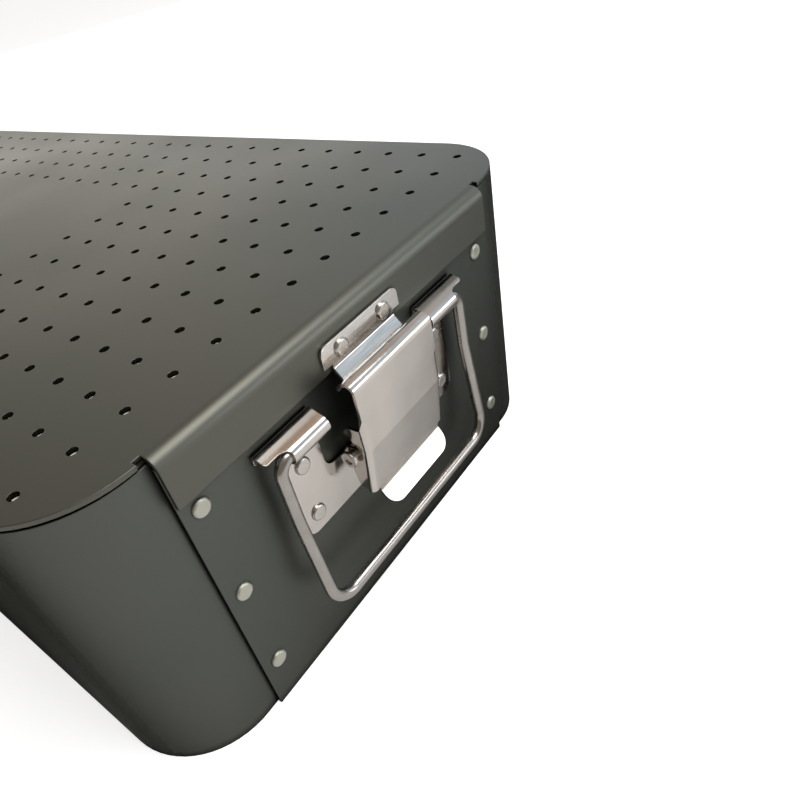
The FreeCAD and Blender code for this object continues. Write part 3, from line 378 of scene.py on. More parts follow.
def vent_cutters():
    """The vents as one tool: a deburred hole repeated over the four perforated fields."""
    side_columns = (VENT_COLUMNS - BLANK_COLUMNS) // 2
    side_rows = (VENT_ROWS - BLANK_ROWS) // 2
    fields = ((0, 0, side_columns, VENT_ROWS),
              (VENT_COLUMNS - side_columns, 0, side_columns, VENT_ROWS),
              (side_columns, 0, BLANK_COLUMNS, side_rows),
              (side_columns, VENT_ROWS - side_rows, BLANK_COLUMNS, side_rows))
    tools = []
    for column, row, columns, rows in fields:
        foot = Vector(((column - (VENT_COLUMNS - 1) / 2) * VENT_PITCH,
                       (row - (VENT_ROWS - 1) / 2) * VENT_PITCH, LID_TOP - 2 * LID_SHEET))
        bpy.ops.object.select_all(action="DESELECT")
        bpy.ops.mesh.primitive_circle_add(vertices=VENT_SIDES, radius=VENT_RADIUS,
                                          fill_type="NGON", location=foot)
        tool = bpy.context.object
        bpy.ops.object.transform_apply(location=True)
        bpy.ops.object.mode_set(mode="EDIT")
        bpy.ops.mesh.select_all(action="SELECT")
        move_on(Vector((0, 0, 2 * LID_SHEET - VENT_EDGE)))
        move_on(Vector((0, 0, VENT_EDGE)))
        wider = 1 + VENT_EDGE / VENT_RADIUS
        bpy.ops.transform.resize(value=(wider, wider, 1),
                                 center_override=(foot.x, foot.y, LID_TOP))
        move_on(Vector((0, 0, LID_SHEET)))
        tidy_mesh()
        apply_modifier(tool, "ARRAY", count=columns, use_relative_offset=False,
                       use_constant_offset=True, constant_offset_displace=(VENT_PITCH, 0, 0))
        apply_modifier(tool, "ARRAY", count=rows, use_relative_offset=False,
                       use_constant_offset=True, constant_offset_displace=(0, VENT_PITCH, 0))
        tools.append(tool)
    return join(tools, "vent_tool")


def folded_lid():
    middle = LID_TOP - LID_SHEET / 2
    bend_start = LID_HIGH.x - FLANGE_BEND
    lid = sheet_blank("lid_top", (0, 0, middle), (PLATE_END * 2, LID_HIGH.y * 2))
    bpy.ops.mesh.select_all(action="SELECT")
    bpy.ops.mesh.bevel(offset=LID_CORNER, segments=CORNER_STEPS, affect="VERTICES")
    for side in (1, -1):
        for x in (bend_start, bend_start - RELIEF_DEPTH):
            slice_at((side * x, 0, 0), (1, 0, 0))
        for y in (PANEL_HALF, PANEL_HALF + RELIEF_WIDTH):
            slice_at((0, side * y, 0), (0, 1, 0))
    pick(lid, "FACE", lambda point: abs(point.x) > bend_start - RELIEF_DEPTH
         and PANEL_HALF < abs(point.y) < PANEL_HALF + RELIEF_WIDTH)
    bpy.ops.mesh.delete(type="FACE")
    pick(lid, "FACE", lambda point: abs(point.x) > bend_start and abs(point.y) < PANEL_HALF)
    bpy.ops.mesh.delete(type="FACE")
    flange_middle = LID_HIGH.x - LID_SHEET / 2
    for side in (1, -1):
        pick(lid, "EDGE", lambda point: near(point.x, side * bend_start)
             and abs(point.y) < PANEL_HALF)
        carry_on([(Vector((side * bend_start, 0, middle)), 0),
                  (Vector((side * flange_middle, 0, middle)), FLANGE_BEND - LID_SHEET / 2),
                  (Vector((side * flange_middle, 0, LID_LOW.z)), 0)])
    thicken(lid, LID_SHEET, LID_EDGE)
    tool = vent_cutters()
    alone(lid)
    apply_modifier(lid, "BOOLEAN", operation="DIFFERENCE", solver="EXACT", object=tool)
    bpy.data.objects.remove(tool)
    smooth(lid)
    return lid


# Aluminium, bead-blasted and hard-anodised: a dark grey satin that brightens at a low
# angle, with clouds from warm to cool a hand's width across and a grain finer than a hair.
# Holes, seams and corners are darkened by painted shade from an occlusion mask, which also
# dims the low-angle tint there. The grain is about three times the real one, so that it shows.
LID_COLOUR = "#68635A"
LID_COLOUR_COOL = "#5C615C"
LID_GRAZING = "#F0F0F0"
ANODISED_METALLIC = 0.9
ANODISED_SHINE = (0.38, 0.47)
CLOUD_WIDTH = 130 * MM
GRAIN_WIDTH = 0.5 * MM
GRAIN_HEIGHT = 0.02 * MM
GRAIN_STRENGTH = 0.25
# These three set the painted shade in holes, seams and corners: how far the occlusion looks, its
# range, and the darkest factor.
CREVICE_SHADE_REACH = 7 * MM
CREVICE_SHADE_RANGE = (0.35, 0.85)
CREVICE_SHADE_DARKEST = 0.08
NOISE_RANGE = (0.3, 0.7)


def anodised(name, warm, cool, grazing):
    made = bpy.data.materials.new(name)
    tree = blank_tree(made)
    place = add_node(tree, "ShaderNodeTexCoord").outputs["Object"]
    cloud = add_node(tree, "ShaderNodeTexNoise", [("Scale", 1 / CLOUD_WIDTH), ("Detail", 3)],
                     [("Vector", place)])
    grain = add_node(tree, "ShaderNodeTexNoise", [("Scale", 1 / GRAIN_WIDTH), ("Detail", 2)],
                     [("Vector", place)])
    tone = add_node(tree, "ShaderNodeMix", [("data_type", "RGBA"), ("A", linear(warm)),
                                            ("B", linear(cool))],
                    [("Factor", cloud.outputs["Fac"])])
    shine = add_node(tree, "ShaderNodeMapRange",
                     [("From Min", NOISE_RANGE[0]), ("From Max", NOISE_RANGE[1]),
                      ("To Min", ANODISED_SHINE[0]), ("To Max", ANODISED_SHINE[1])],
                     [("Value", cloud.outputs["Fac"])])
    relief = add_node(tree, "ShaderNodeBump", [("Strength", GRAIN_STRENGTH),
                                               ("Distance", GRAIN_HEIGHT)],
                      [("Height", grain.outputs["Fac"])])
    # Painted shade: ambient occlusion darkens the colour and the low-angle tint in holes, seams
    # and corners.
    occlusion = add_node(tree, "ShaderNodeAmbientOcclusion", [("samples", 8),
                                                           ("Distance", CREVICE_SHADE_REACH)])
    crevice_shade = add_node(tree, "ShaderNodeMapRange", [("From Min", CREVICE_SHADE_RANGE[0]),
                                                  ("From Max", CREVICE_SHADE_RANGE[1]),
                                                  ("To Min", CREVICE_SHADE_DARKEST)],
                     [("Value", occlusion.outputs["AO"])])
    shaded_tone = add_node(tree, "ShaderNodeVectorMath", [("operation", "SCALE")],
                     [(0, tone.outputs["Result"]), ("Scale", crevice_shade.outputs[0])])
    shaded_edge_tint = add_node(tree, "ShaderNodeVectorMath", [("operation", "SCALE"),
                                                    (0, linear(grazing)[:3])],
                     [("Scale", crevice_shade.outputs[0])])
    skin = add_node(tree, "ShaderNodeBsdfPrincipled", [("Metallic", ANODISED_METALLIC)],
                    [("Base Color", shaded_tone.outputs[0]), ("Roughness", shine.outputs[0]),
                     ("Specular Tint", shaded_edge_tint.outputs[0]), ("Normal", relief.outputs["Normal"])])
    add_node(tree, "ShaderNodeOutputMaterial", (), [("Surface", skin.outputs[0])])
    return made


lid_skin = anodised("hard_anodised_lid", LID_COLOUR, LID_COLOUR_COOL, LID_GRAZING)
fit(folded_lid(), "lid", "lid_sheet", lid_skin, "lid_shell")


# Side walls
# Each long wall is one aluminium sheet bent round two corners of the box, its ends
# lapped behind the end panels and riveted there. The lid's edge overhangs it a little.
WALL_SHEET = 1.5 * MM
WALL_CORNER = 38 * MM
WALL_EDGE = 0.25 * MM
# Painted shade: these colours and this low-angle tint are set darker than the lid's, for the same
# finish.
WALL_COLOUR = "#63625C"
WALL_COLOUR_COOL = "#595E5A"
WALL_GRAZING_SHADED = "#6E6E6E"

# The same finish as the lid's, as a darker copy: its slightly darker colours and its much weaker
# tint at a low angle are painted shade.
shaded_wall_skin = anodised("hard_anodised_wall_shaded", WALL_COLOUR, WALL_COLOUR_COOL, WALL_GRAZING_SHADED)


def side_wall(name, node, side):
    low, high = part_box(node)
    lap = min(abs(low.y), abs(high.y))
    half_x = high.x - WALL_SHEET / 2
    half_y = max(abs(low.y), abs(high.y)) - WALL_SHEET / 2
    wall = sheet_blank(name, (0, 0, low.z), (half_x * 2, half_y * 2))
    bpy.ops.mesh.select_all(action="SELECT")
    bpy.ops.mesh.bevel(offset=WALL_CORNER - WALL_SHEET / 2, segments=CORNER_STEPS,
                       affect="VERTICES")
    slice_at((0, side * lap, 0), (0, -side, 0), drop_outer=True)
    bpy.ops.mesh.select_all(action="SELECT")
    bpy.ops.mesh.delete(type="ONLY_FACE")
    pick(wall, "EDGE", lambda point: near(point.y, side * lap))
    bpy.ops.mesh.delete(type="EDGE")
    bpy.ops.mesh.select_all(action="SELECT")
    move_on(Vector((0, 0, high.z - low.z)))
    thicken(wall, WALL_SHEET, WALL_EDGE)
    smooth(wall)
    return wall


fit(side_wall("front_wall", "side_wall_front", -1), "base", "wall_sheet", shaded_wall_skin,
    "side_wall_front")
fit(side_wall("rear_wall", "side_wall_rear", 1), "base", "wall_sheet", shaded_wall_skin,
    "side_wall_rear")


# End panels
# A flat aluminium sheet closes each end over the laps of the side walls. Its sheared
# edges are deburred, and the lid's flange slides down over its upper part.
PANEL_SHEET = 2 * MM
PANEL_EDGE = 0.35 * MM
UPRIGHT, SIDEWAYS = (0, math.pi / 2, 0), (math.pi / 2, 0, 0)


def opposite(piece, name):
    """The same piece for the other end of the box, turned half round."""
    alone(piece)
    bpy.ops.object.duplicate(linked=False)
    copy = bpy.context.object
    copy.name = copy.data.name = name
    copy.data.transform(Matrix.Rotation(math.pi, 4, "Z"))
    return copy


def end_panel():
    low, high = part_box("end_panel_right")
    panel = sheet_blank("right_panel", (high.x - PANEL_SHEET / 2, 0, high.z / 2),
                        (high.z, high.y * 2), UPRIGHT)
    thicken(panel, PANEL_SHEET, PANEL_EDGE)
    smooth(panel)
    return panel


panel = end_panel()
for end, piece in (("left", opposite(panel, "left_panel")), ("right", panel)):
    fit(piece, "base", "wall_sheet", shaded_wall_skin, f"end_panel_{end}")


# Wall rivets
# Aluminium drive rivets hold the laps, three down each edge of an end panel. Their low
# round heads are left bare, so they are paler than the anodised sheet and a little dull.
RIVET_HEAD = 3.6 * MM
RIVET_RISE = 1.3 * MM
RIVET_ROUND = 1.15 * MM
RIVET_SHANK = 2 * MM
RIVET_SIDES, RIVET_ROUND_STEPS = 28, 6
WALL_RIVET_IN = 7.5 * MM
WALL_RIVET_LEVELS = (114, 70.5, 27.2)


def at(out, below, y=0.0):
    """A place at the right end, in mm out from the end panel and below the lid plate."""
    return Vector((PANEL_FACE + out * MM, y * MM, LID_TOP - below * MM))


def rivet(place, grip):
    """A domed head on a face at the right end, with its shank behind it."""
    bpy.ops.object.select_all(action="DESELECT")
    bpy.ops.mesh.primitive_cylinder_add(vertices=RIVET_SIDES, radius=RIVET_HEAD, depth=RIVET_RISE,
                                        location=place + Vector((RIVET_RISE / 2, 0, 0)),
                                        rotation=UPRIGHT)
    head = bpy.context.object
    bpy.ops.object.transform_apply(location=True, rotation=True, scale=True)
    bpy.ops.object.mode_set(mode="EDIT")
    pick(head, "FACE", lambda point: near(point.x, place.x + RIVET_RISE))
    bpy.ops.mesh.bevel(offset=RIVET_ROUND, segments=RIVET_ROUND_STEPS, affect="EDGES")
    pick(head, "FACE", lambda point: near(point.x, place.x))
    bpy.ops.mesh.inset(thickness=RIVET_HEAD - RIVET_SHANK)
    move_on(Vector((-grip, 0, 0)))
    tidy_mesh()
    return head


def rivet_group(name, places, grip):
    """One rivet, copied to each of its places."""
    first = rivet(places[0], grip)
    group = [first]
    for place in places[1:]:
        alone(first)
        bpy.ops.object.duplicate(linked=False)
        bpy.ops.transform.translate(value=place - places[0])
        bpy.ops.object.transform_apply(location=True)
        group.append(bpy.context.object)
    group = join(group, name)
    smooth(group)
    return group


# Bare aluminium with a dull film: soft, nearly even light, with faint small blotches.
TONE_RANGE = (0.9, 1.06)


def metal(name, colour, shine, blotch, streak=(1, 1, 1), spread=0.3):
    """A bare metal whose shine varies in blotches of that width, drawn out by streak."""
    made = bpy.data.materials.new(name)
    tree = blank_tree(made)
    place = add_node(tree, "ShaderNodeTexCoord").outputs["Object"]
    drawn = add_node(tree, "ShaderNodeMapping", [("Scale", streak)], [("Vector", place)])
    smear = add_node(tree, "ShaderNodeTexNoise", [("Scale", 1 / blotch), ("Detail", 4)],
                     [("Vector", drawn.outputs[0])])
    shine = add_node(tree, "ShaderNodeMapRange",
                     [("From Min", NOISE_RANGE[0]), ("From Max", NOISE_RANGE[1]),
                      ("To Min", shine * (1 - spread)), ("To Max", shine * (1 + spread))],
                     [("Value", smear.outputs["Fac"])])
    tone = add_node(tree, "ShaderNodeMapRange",
                    [("From Min", NOISE_RANGE[0]), ("From Max", NOISE_RANGE[1]),
                     ("To Min", TONE_RANGE[0]), ("To Max", TONE_RANGE[1])],
                    [("Value", smear.outputs["Fac"])])
    tint = add_node(tree, "ShaderNodeVectorMath", [("operation", "SCALE"),
                                                   (0, linear(colour)[:3])],
                    [("Scale", tone.outputs[0])])
    skin = add_node(tree, "ShaderNodeBsdfPrincipled", [("Metallic", 1)],
                    [("Base Color", tint.outputs[0]), ("Roughness", shine.outputs[0])])
    add_node(tree, "ShaderNodeOutputMaterial", (), [("Surface", skin.outputs[0])])
    return made


dull_aluminium = metal("dull_aluminium_rivet", "#B9B8AC", 0.5, 2.5 * MM)
wall_rivets = rivet_group("right_wall_rivets", [
    at(0, below, side * (PANEL_HALF - WALL_RIVET_IN) / MM)
    for side in (-1, 1) for below in WALL_RIVET_LEVELS], PANEL_SHEET + WALL_SHEET)
for end, piece in (("left", opposite(wall_rivets, "left_wall_rivets")), ("right", wall_rivets)):
    fit(piece, "base", "rivet_aluminium", dull_aluminium, f"wall_rivets_{end}")


# Keepers
# A stainless strip riveted to the middle of the lid's flange. Below the rivets it is
# folded out into a tongue, which the rolled edge of the latch cover hooks over.
STEEL_SHEET = 1.2 * MM
STEEL_EDGE = 0.18 * MM
STEEL_BEND = 1.6 * MM
FLANGE_OUT = (LID_HIGH.x - PANEL_FACE) / MM
KEEPER_HALF = 22.75
TONGUE_HALF = 18.4
KEEPER_TOP, KEEPER_FLAT_END, KEEPER_FOLD = 8.3, 16.9, 18.9
TONGUE_FOLD, TONGUE_TIP = (8.4, 25.1), (12.3, 26.1)
KEEPER_CORNER = 3.5 * MM
CUT_CORNER_STEPS = 6
KEEPER_RIVET = (12.4, 13.4)


def keeper():
    middle = FLANGE_OUT + STEEL_SHEET / 2 / MM
    strip = sheet_blank("right_keeper", at(middle, (KEEPER_TOP + KEEPER_FLAT_END) / 2),
                        ((KEEPER_FLAT_END - KEEPER_TOP) * MM, 2 * KEEPER_HALF * MM), UPRIGHT)
    pick(strip, "VERT", lambda point: near(point.z, at(0, KEEPER_TOP).z))
    bpy.ops.mesh.bevel(offset=KEEPER_CORNER, segments=CUT_CORNER_STEPS, affect="VERTICES")
    for side in (1, -1):
        slice_at((0, side * TONGUE_HALF * MM, 0), (0, 1, 0))
    pick(strip, "EDGE", lambda point: near(point.z, at(0, KEEPER_FLAT_END).z)
         and abs(point.y) < TONGUE_HALF * MM)
    carry_on([(at(middle, KEEPER_FLAT_END), 0), (at(middle, KEEPER_FOLD), STEEL_BEND),
              (at(*TONGUE_FOLD), STEEL_BEND), (at(*TONGUE_TIP), 0)])
    thicken(strip, STEEL_SHEET, STEEL_EDGE)
    smooth(strip)
    return strip


# Stainless steel, brushed along the strip: bright, with fine streaks along its length.
brushed_steel = metal("brushed_stainless_keeper", "#CCC9C5", 0.2, 1.2 * MM, (1, 0.06, 1), 0.4)
# Stainless rivets, set by a die and tumbled: an even satin with a soft spot of light.
satin_steel = metal("satin_stainless_rivet", "#C0BBB5", 0.24, 3 * MM)

strip = keeper()
for end, piece in (("left", opposite(strip, "left_keeper")), ("right", strip)):
    fit(piece, "lid", "holder_steel", brushed_steel, f"keeper_{end}")
keeper_rivets = rivet_group("right_keeper_rivets", [
    at(FLANGE_OUT + STEEL_SHEET / MM, KEEPER_RIVET[1], side * KEEPER_RIVET[0])
    for side in (-1, 1)], LID_SHEET + STEEL_SHEET)
for end, piece in (("left", opposite(keeper_rivets, "left_keeper_rivets")),
                   ("right", keeper_rivets)):
    fit(piece, "lid", "rivet_steel", satin_steel, f"keeper_rivets_{end}")


# Handle plates
# One polished stainless sheet on each end. Its upper edge is rolled into two knuckles
# for the bail, with an open hood at each outer end, and two ears carry the latch pin.
WIRE_RADIUS = 2.5
WIRE_PLAY = 0.1
WIRE_OUT, WIRE_DOWN = 6.6, 31
ROLL = WIRE_RADIUS + WIRE_PLAY + STEEL_SHEET / 2 / MM
ROLL_SLOPE = math.radians(19)
ROLL_TIP_IN = 0.6
ROUND_STEP = math.radians(9)
PLATE_HALF, PLATE_FOOT, PLATE_CORNER = 51.5, 78, 6
PLATE_FOLD, PLATE_FLAT_TOP = 29.5, 28.5
GAP_HALF, GAP_FOOT, GAP_CORNER = 33, 56, 5
CREST_BEND = 1 * MM
HOOD_HALF, HOOD_OUT = 61.5, 6.8
HOOD_SWEEP = 3.2
HOOD_FOOT_CORNER = 0.9
HOOD_CORNER = 1.6 * MM
HOOD_CORNER_STEPS = 5
EAR_MIDDLE = 25.7
EAR_OUTLINE = ((0.6, 60), (8, 58.9), (14.4, 51.3), (13, 39.6), (8.9, 39.6), (0.6, 56))
EAR_ROOT_OUT = 4
EAR_CORNER = 0.8 * MM
EAR_CORNER_STEPS = 4
PLATE_RIVETS = (43.5, (45, 69.5))


def on_slope(out):
    """The knuckle's roof falls outwards and touches the roll round the wire."""
    rise = (ROLL - (out - WIRE_OUT) * math.sin(ROLL_SLOPE)) / math.cos(ROLL_SLOPE)
    return at(out, WIRE_DOWN - rise)


def ear(y, outline):
    """One ear at y, trimmed along each side of its convex outline."""
    outs, belows = zip(*outline)
    middle = at((min(outs) + max(outs)) / 2, (min(belows) + max(belows)) / 2, y)
    piece = sheet_blank("ear", middle, ((max(outs) - min(outs)) * MM,
                                        (max(belows) - min(belows)) * MM), SIDEWAYS)
    for first, second in zip(outline, outline[1:] + outline[:1]):
        start, end = at(*first, y), at(*second, y)
        outward = (end - start).cross(Vector((0, 1, 0)))
        slice_at(start, outward, drop_outer=True)
    pick(piece, "VERT", lambda point: point.x > at(EAR_ROOT_OUT, 0).x)
    bpy.ops.mesh.bevel(offset=EAR_CORNER, segments=EAR_CORNER_STEPS, affect="VERTICES")
    bpy.ops.object.mode_set(mode="OBJECT")
    return piece


def sweep_into_tube(plate):
    """Draws the tube's outer end into the hood's front edge in one curve."""
    start = on_slope(HOOD_OUT)
    axis = at(WIRE_OUT, WIRE_DOWN)
    tangent = axis + Vector((math.sin(ROLL_SLOPE), 0, math.cos(ROLL_SLOPE))) * ROLL * MM
    straight = (tangent - start).length / MM

    def run(point):
        """Distance from the hood's front edge, along the sheet."""
        arm = point - axis
        turned = math.atan2(arm.x, arm.z) - ROLL_SLOPE
        if turned * ROLL * MM < SAME_PLACE:
            return Vector((point.x - start.x, 0, point.z - start.z)).length / MM
        return straight + turned * ROLL

    shape = bmesh.from_edit_mesh(plate.data)
    ends = [corner.co.copy() for corner in shape.verts
            if near(abs(corner.co.y), PLATE_HALF * MM) and corner.co.x > start.x - SAME_PLACE
            and corner.co.z > axis.z]
    for place in ends:
        left = HOOD_SWEEP - run(place)
        if left > 0:
            reach = HOOD_SWEEP - math.sqrt(HOOD_SWEEP ** 2 - left ** 2)
            pick(plate, "VERT", lambda point: (point - place).length < SAME_PLACE)
            bpy.ops.transform.translate(value=(0, math.copysign(reach * MM, place.y), 0))


def handle_plate():
    back = STEEL_SHEET / 2 / MM
    plate = sheet_blank("right_handle_plate", at(back, (PLATE_FLAT_TOP + PLATE_FOOT) / 2),
                        ((PLATE_FOOT - PLATE_FLAT_TOP) * MM, HOOD_HALF * 2 * MM), UPRIGHT)
    for side in (1, -1):
        slice_at((0, side * PLATE_HALF * MM, 0), (0, 1, 0))
        slice_at((0, side * GAP_HALF * MM, 0), (0, 1, 0))
    slice_at(at(0, GAP_FOOT), (0, 0, 1))
    slice_at(at(0, PLATE_FOLD), (0, 0, 1))
    pick(plate, "FACE", lambda point:
         (abs(point.y) > PLATE_HALF * MM and point.z < at(0, PLATE_FOLD).z)
         or (abs(point.y) < GAP_HALF * MM and point.z > at(0, GAP_FOOT).z))
    bpy.ops.mesh.delete(type="FACE")
    bpy.ops.mesh.select_all(action="SELECT")
    bpy.ops.mesh.dissolve_limited(angle_limit=FLAT_ANGLE)
    for half, foot, radius in ((PLATE_HALF, PLATE_FOOT, PLATE_CORNER),
                               (GAP_HALF, GAP_FOOT, GAP_CORNER),
                               (HOOD_HALF, PLATE_FOLD, HOOD_FOOT_CORNER)):
        pick(plate, "VERT", lambda point: near(abs(point.y), half * MM)
             and near(point.z, at(0, foot).z))
        bpy.ops.mesh.bevel(offset=radius * MM, segments=CUT_CORNER_STEPS, affect="VERTICES")
    pick(plate, "EDGE", lambda point: near(point.z, at(0, PLATE_FLAT_TOP).z))
    front = on_slope(HOOD_OUT)
    carry_on([(at(back, PLATE_FLAT_TOP), 0), (on_slope(back), CREST_BEND), (front, 0)])
    for side in (1, -1):
        slice_at((0, side * PLATE_HALF * MM, 0), (0, 1, 0))
    pick(plate, "VERT", lambda point: near(point.x, front.x)
         and near(abs(point.y), HOOD_HALF * MM))
    bpy.ops.mesh.bevel(offset=HOOD_CORNER, segments=HOOD_CORNER_STEPS, affect="VERTICES")
    pick(plate, "EDGE", lambda point: near(point.x, front.x) and abs(point.y) < PLATE_HALF * MM)
    carry_on([(front, 0), (on_slope(WIRE_OUT + ROLL), ROLL * MM),
              (at(WIRE_OUT + ROLL, WIRE_DOWN + ROLL), ROLL * MM),
              (at(WIRE_OUT - ROLL_TIP_IN, WIRE_DOWN + ROLL), 0)], ROUND_STEP)
    sweep_into_tube(plate)
    bpy.ops.object.mode_set(mode="OBJECT")
    ears = [ear(side * EAR_MIDDLE, EAR_OUTLINE) for side in (1, -1)]
    plate = join([plate] + ears, "right_handle_plate")
    bpy.ops.object.mode_set(mode="EDIT")
    thicken(plate, STEEL_SHEET, STEEL_EDGE)
    smooth(plate)
    return plate


# Stainless steel, mirror polished and handled: clear reflections, with faint wiped smears.
polished_steel = metal("polished_stainless", "#C3BDB7", 0.13, 22 * MM, (1, 1, 1), 0.35)

plate = handle_plate()
for end, piece in (("left", opposite(plate, "left_handle_plate")), ("right", plate)):
    fit(piece, "base", "plate_steel", polished_steel, f"handle_plate_{end}")
plate_rivets = rivet_group("right_handle_rivets", [
    at(STEEL_SHEET / MM, below, side * PLATE_RIVETS[0])
    for side in (-1, 1) for below in PLATE_RIVETS[1]], PANEL_SHEET + STEEL_SHEET)
for end, piece in (("left", opposite(plate_rivets, "left_handle_rivets")),
                   ("right", plate_rivets)):
    fit(piece, "base", "rivet_steel", satin_steel, f"handle_rivets_{end}")


# Bails
# Each drop handle is one bent 5 mm stainless wire. Its tails turn in towards each other
# inside the knuckles, so it swings freely from hanging to level.
BAIL_HALF = 57
TAIL_HALF = 35
BAIL_KINK = (6.8, 57.5)
BAIL_BAR = (11.5, 106)
BAIL_SHOULDER, BAIL_KINK_BEND, BAIL_CORNER = 6, 40, 11
WIRE_SIDES = 24


def bail():
    bpy.ops.object.select_all(action="DESELECT")
    tail = at(WIRE_OUT, WIRE_DOWN, -TAIL_HALF)
    bpy.ops.mesh.primitive_circle_add(vertices=WIRE_SIDES, radius=WIRE_RADIUS * MM,
                                      fill_type="NGON", location=tail, rotation=SIDEWAYS)
    wire = bpy.context.object
    wire.name = wire.data.name = "right_bail_wire"
    bpy.ops.object.transform_apply(location=True, rotation=True)
    bpy.ops.object.mode_set(mode="EDIT")
    bpy.ops.mesh.select_all(action="SELECT")
    half = [(tail, 0),
            (at(WIRE_OUT, WIRE_DOWN, -BAIL_HALF), BAIL_SHOULDER * MM),
            (at(*BAIL_KINK, -BAIL_HALF), BAIL_KINK_BEND * MM),
            (at(*BAIL_BAR, -BAIL_HALF), BAIL_CORNER * MM)]
    other = [(Vector((place.x, -place.y, place.z)), radius) for place, radius in reversed(half)]
    carry_on(half + other, ROUND_STEP)
    tidy_mesh()
    smooth(wire)
    return wire


# Stainless wire, drawn and tumbled: a satin skin with a soft bright line and small rubs.
drawn_wire = metal("drawn_stainless_wire", "#A39E99", 0.25, 9 * MM, (1, 1, 1), 0.15)

wire = bail()
for end, piece in (("left", opposite(wire, "left_bail_wire")), ("right", wire)):
    fit(piece, f"{end}_bail", "wire_steel", drawn_wire, f"bail_{end}")


# Latch covers
# A polished stainless cover turns on the pin. Its top edge is rolled over to hook the
# keeper, its sides are folded back, and its foot is flared into a thumb tab.
COVER_HALF = 24.1
COVER_OUT = 15.7
CURL_RADIUS = 3.4
CURL_DOWN = 23.2
CREASE, FACE_END = (15.7, 49.7), 49.4
WAIST = (13.0, 74.1)
SHOULDER_DOWN = 72
TAB_HALF = 20.6
TAB_EDGE = (18.4, 81.8)
TAB_CORNER, TAB_CORNER_STEPS = 6.5 * MM, 8
FOLD_RADIUS, FOLD_STEPS = 1.8 * MM, 5
FOLD_DEPTH = 2.0
CHEEK_RISE = 36.5
CHEEK_EDGE = ((40, 8.6), (42.6, 6), (50.2, 4), (58.2, 4), (61.9, 6), (69.3, 7.4))
CHEEK_FOOT = (11.6, 71.2)


def face_out(below):
    """How far the cover's face stands out: it leans in below the crease."""
    if below <= CREASE[1]:
        return COVER_OUT
    return COVER_OUT + (WAIST[0] - COVER_OUT) * (below - CREASE[1]) / (WAIST[1] - CREASE[1])


def pull(piece, place, target):
    """Moves the point at a place to its target."""
    pick(piece, "VERT", lambda point: (point - place).length < SAME_PLACE)
    bpy.ops.transform.translate(value=target - place)


def latch_cover():
    cover = sheet_blank("right_latch_cover", at(COVER_OUT, (CURL_DOWN + FACE_END) / 2),
                        ((FACE_END - CURL_DOWN) * MM, COVER_HALF * 2 * MM), UPRIGHT)
    pick(cover, "EDGE", lambda point: near(point.z, at(0, CURL_DOWN).z))
    rear = COVER_OUT - 2 * CURL_RADIUS
    crest = CURL_DOWN - CURL_RADIUS
    carry_on([(at(COVER_OUT, CURL_DOWN), 0), (at(COVER_OUT, crest), CURL_RADIUS * MM),
              (at(rear, crest), CURL_RADIUS * MM), (at(rear, CURL_DOWN), 0)])
    pick(cover, "EDGE", lambda point: near(point.z, at(0, FACE_END).z))
    shoulder = at(face_out(SHOULDER_DOWN), SHOULDER_DOWN)
    carry_on([(at(COVER_OUT, FACE_END), 0), (at(*CREASE), STEEL_BEND), (shoulder, 0)])

    # Side flanges: drawn back from the face in two steps, then pulled to their outline
    for below in [CHEEK_RISE] + [level for level, out in CHEEK_EDGE]:
        slice_at(at(0, below), (0, 0, 1))
    pick(cover, "EDGE", lambda point: near(abs(point.y), COVER_HALF * MM)
         and point.x > at(COVER_OUT - CURL_RADIUS, 0).x
         and shoulder.z < point.z < at(0, CHEEK_RISE).z)
    move_on(Vector((-FOLD_DEPTH * MM, 0, 0)))
    for y in (COVER_HALF, -COVER_HALF):
        step = COVER_OUT - FOLD_DEPTH
        pull(cover, at(step, CHEEK_RISE, y), at(step, CHEEK_EDGE[0][0], y))
    pick(cover, "EDGE", lambda point: near(abs(point.y), COVER_HALF * MM)
         and near(point.x, at(face_out((LID_TOP - point.z) / MM) - FOLD_DEPTH, 0).x)
         and shoulder.z < point.z < at(0, CHEEK_EDGE[0][0]).z)
    move_on(Vector((-FOLD_DEPTH * MM, 0, 0)))
    for y in (COVER_HALF, -COVER_HALF):
        for below, out in CHEEK_EDGE:
            pull(cover, at(face_out(below) - 2 * FOLD_DEPTH, below, y), at(out, below, y))
        pull(cover, at(face_out(SHOULDER_DOWN) - 2 * FOLD_DEPTH, SHOULDER_DOWN, y),
             at(*CHEEK_FOOT, y))
    pick(cover, "EDGE", lambda point: near(abs(point.y), COVER_HALF * MM)
         and near(point.x, at(face_out((LID_TOP - point.z) / MM), 0).x)
         and shoulder.z < point.z < at(0, CHEEK_RISE).z)
    bpy.ops.mesh.bevel(offset=FOLD_RADIUS, segments=FOLD_STEPS, affect="EDGES")

    # Thumb tab: narrower than the face, its corners rounded
    for side in (1, -1):
        slice_at((0, side * TAB_HALF * MM, 0), (0, 1, 0))
    pick(cover, "EDGE", lambda point: near(point.z, shoulder.z) and near(point.x, shoulder.x)
         and abs(point.y) < TAB_HALF * MM)
    carry_on([(shoulder, 0), (at(*WAIST), STEEL_BEND), (at(*TAB_EDGE), 0)])
    pick(cover, "VERT", lambda point: near(point.z, at(*TAB_EDGE).z)
         and near(abs(point.y), TAB_HALF * MM))
    bpy.ops.mesh.bevel(offset=TAB_CORNER, segments=TAB_CORNER_STEPS, affect="VERTICES")
    thicken(cover, STEEL_SHEET, STEEL_EDGE)
    smooth(cover)
    return cover


cover = latch_cover()
for end, piece in (("left", opposite(cover, "left_latch_cover")), ("right", cover)):
    fit(piece, f"{end}_latch", "plate_steel", polished_steel, f"latch_cover_{end}")


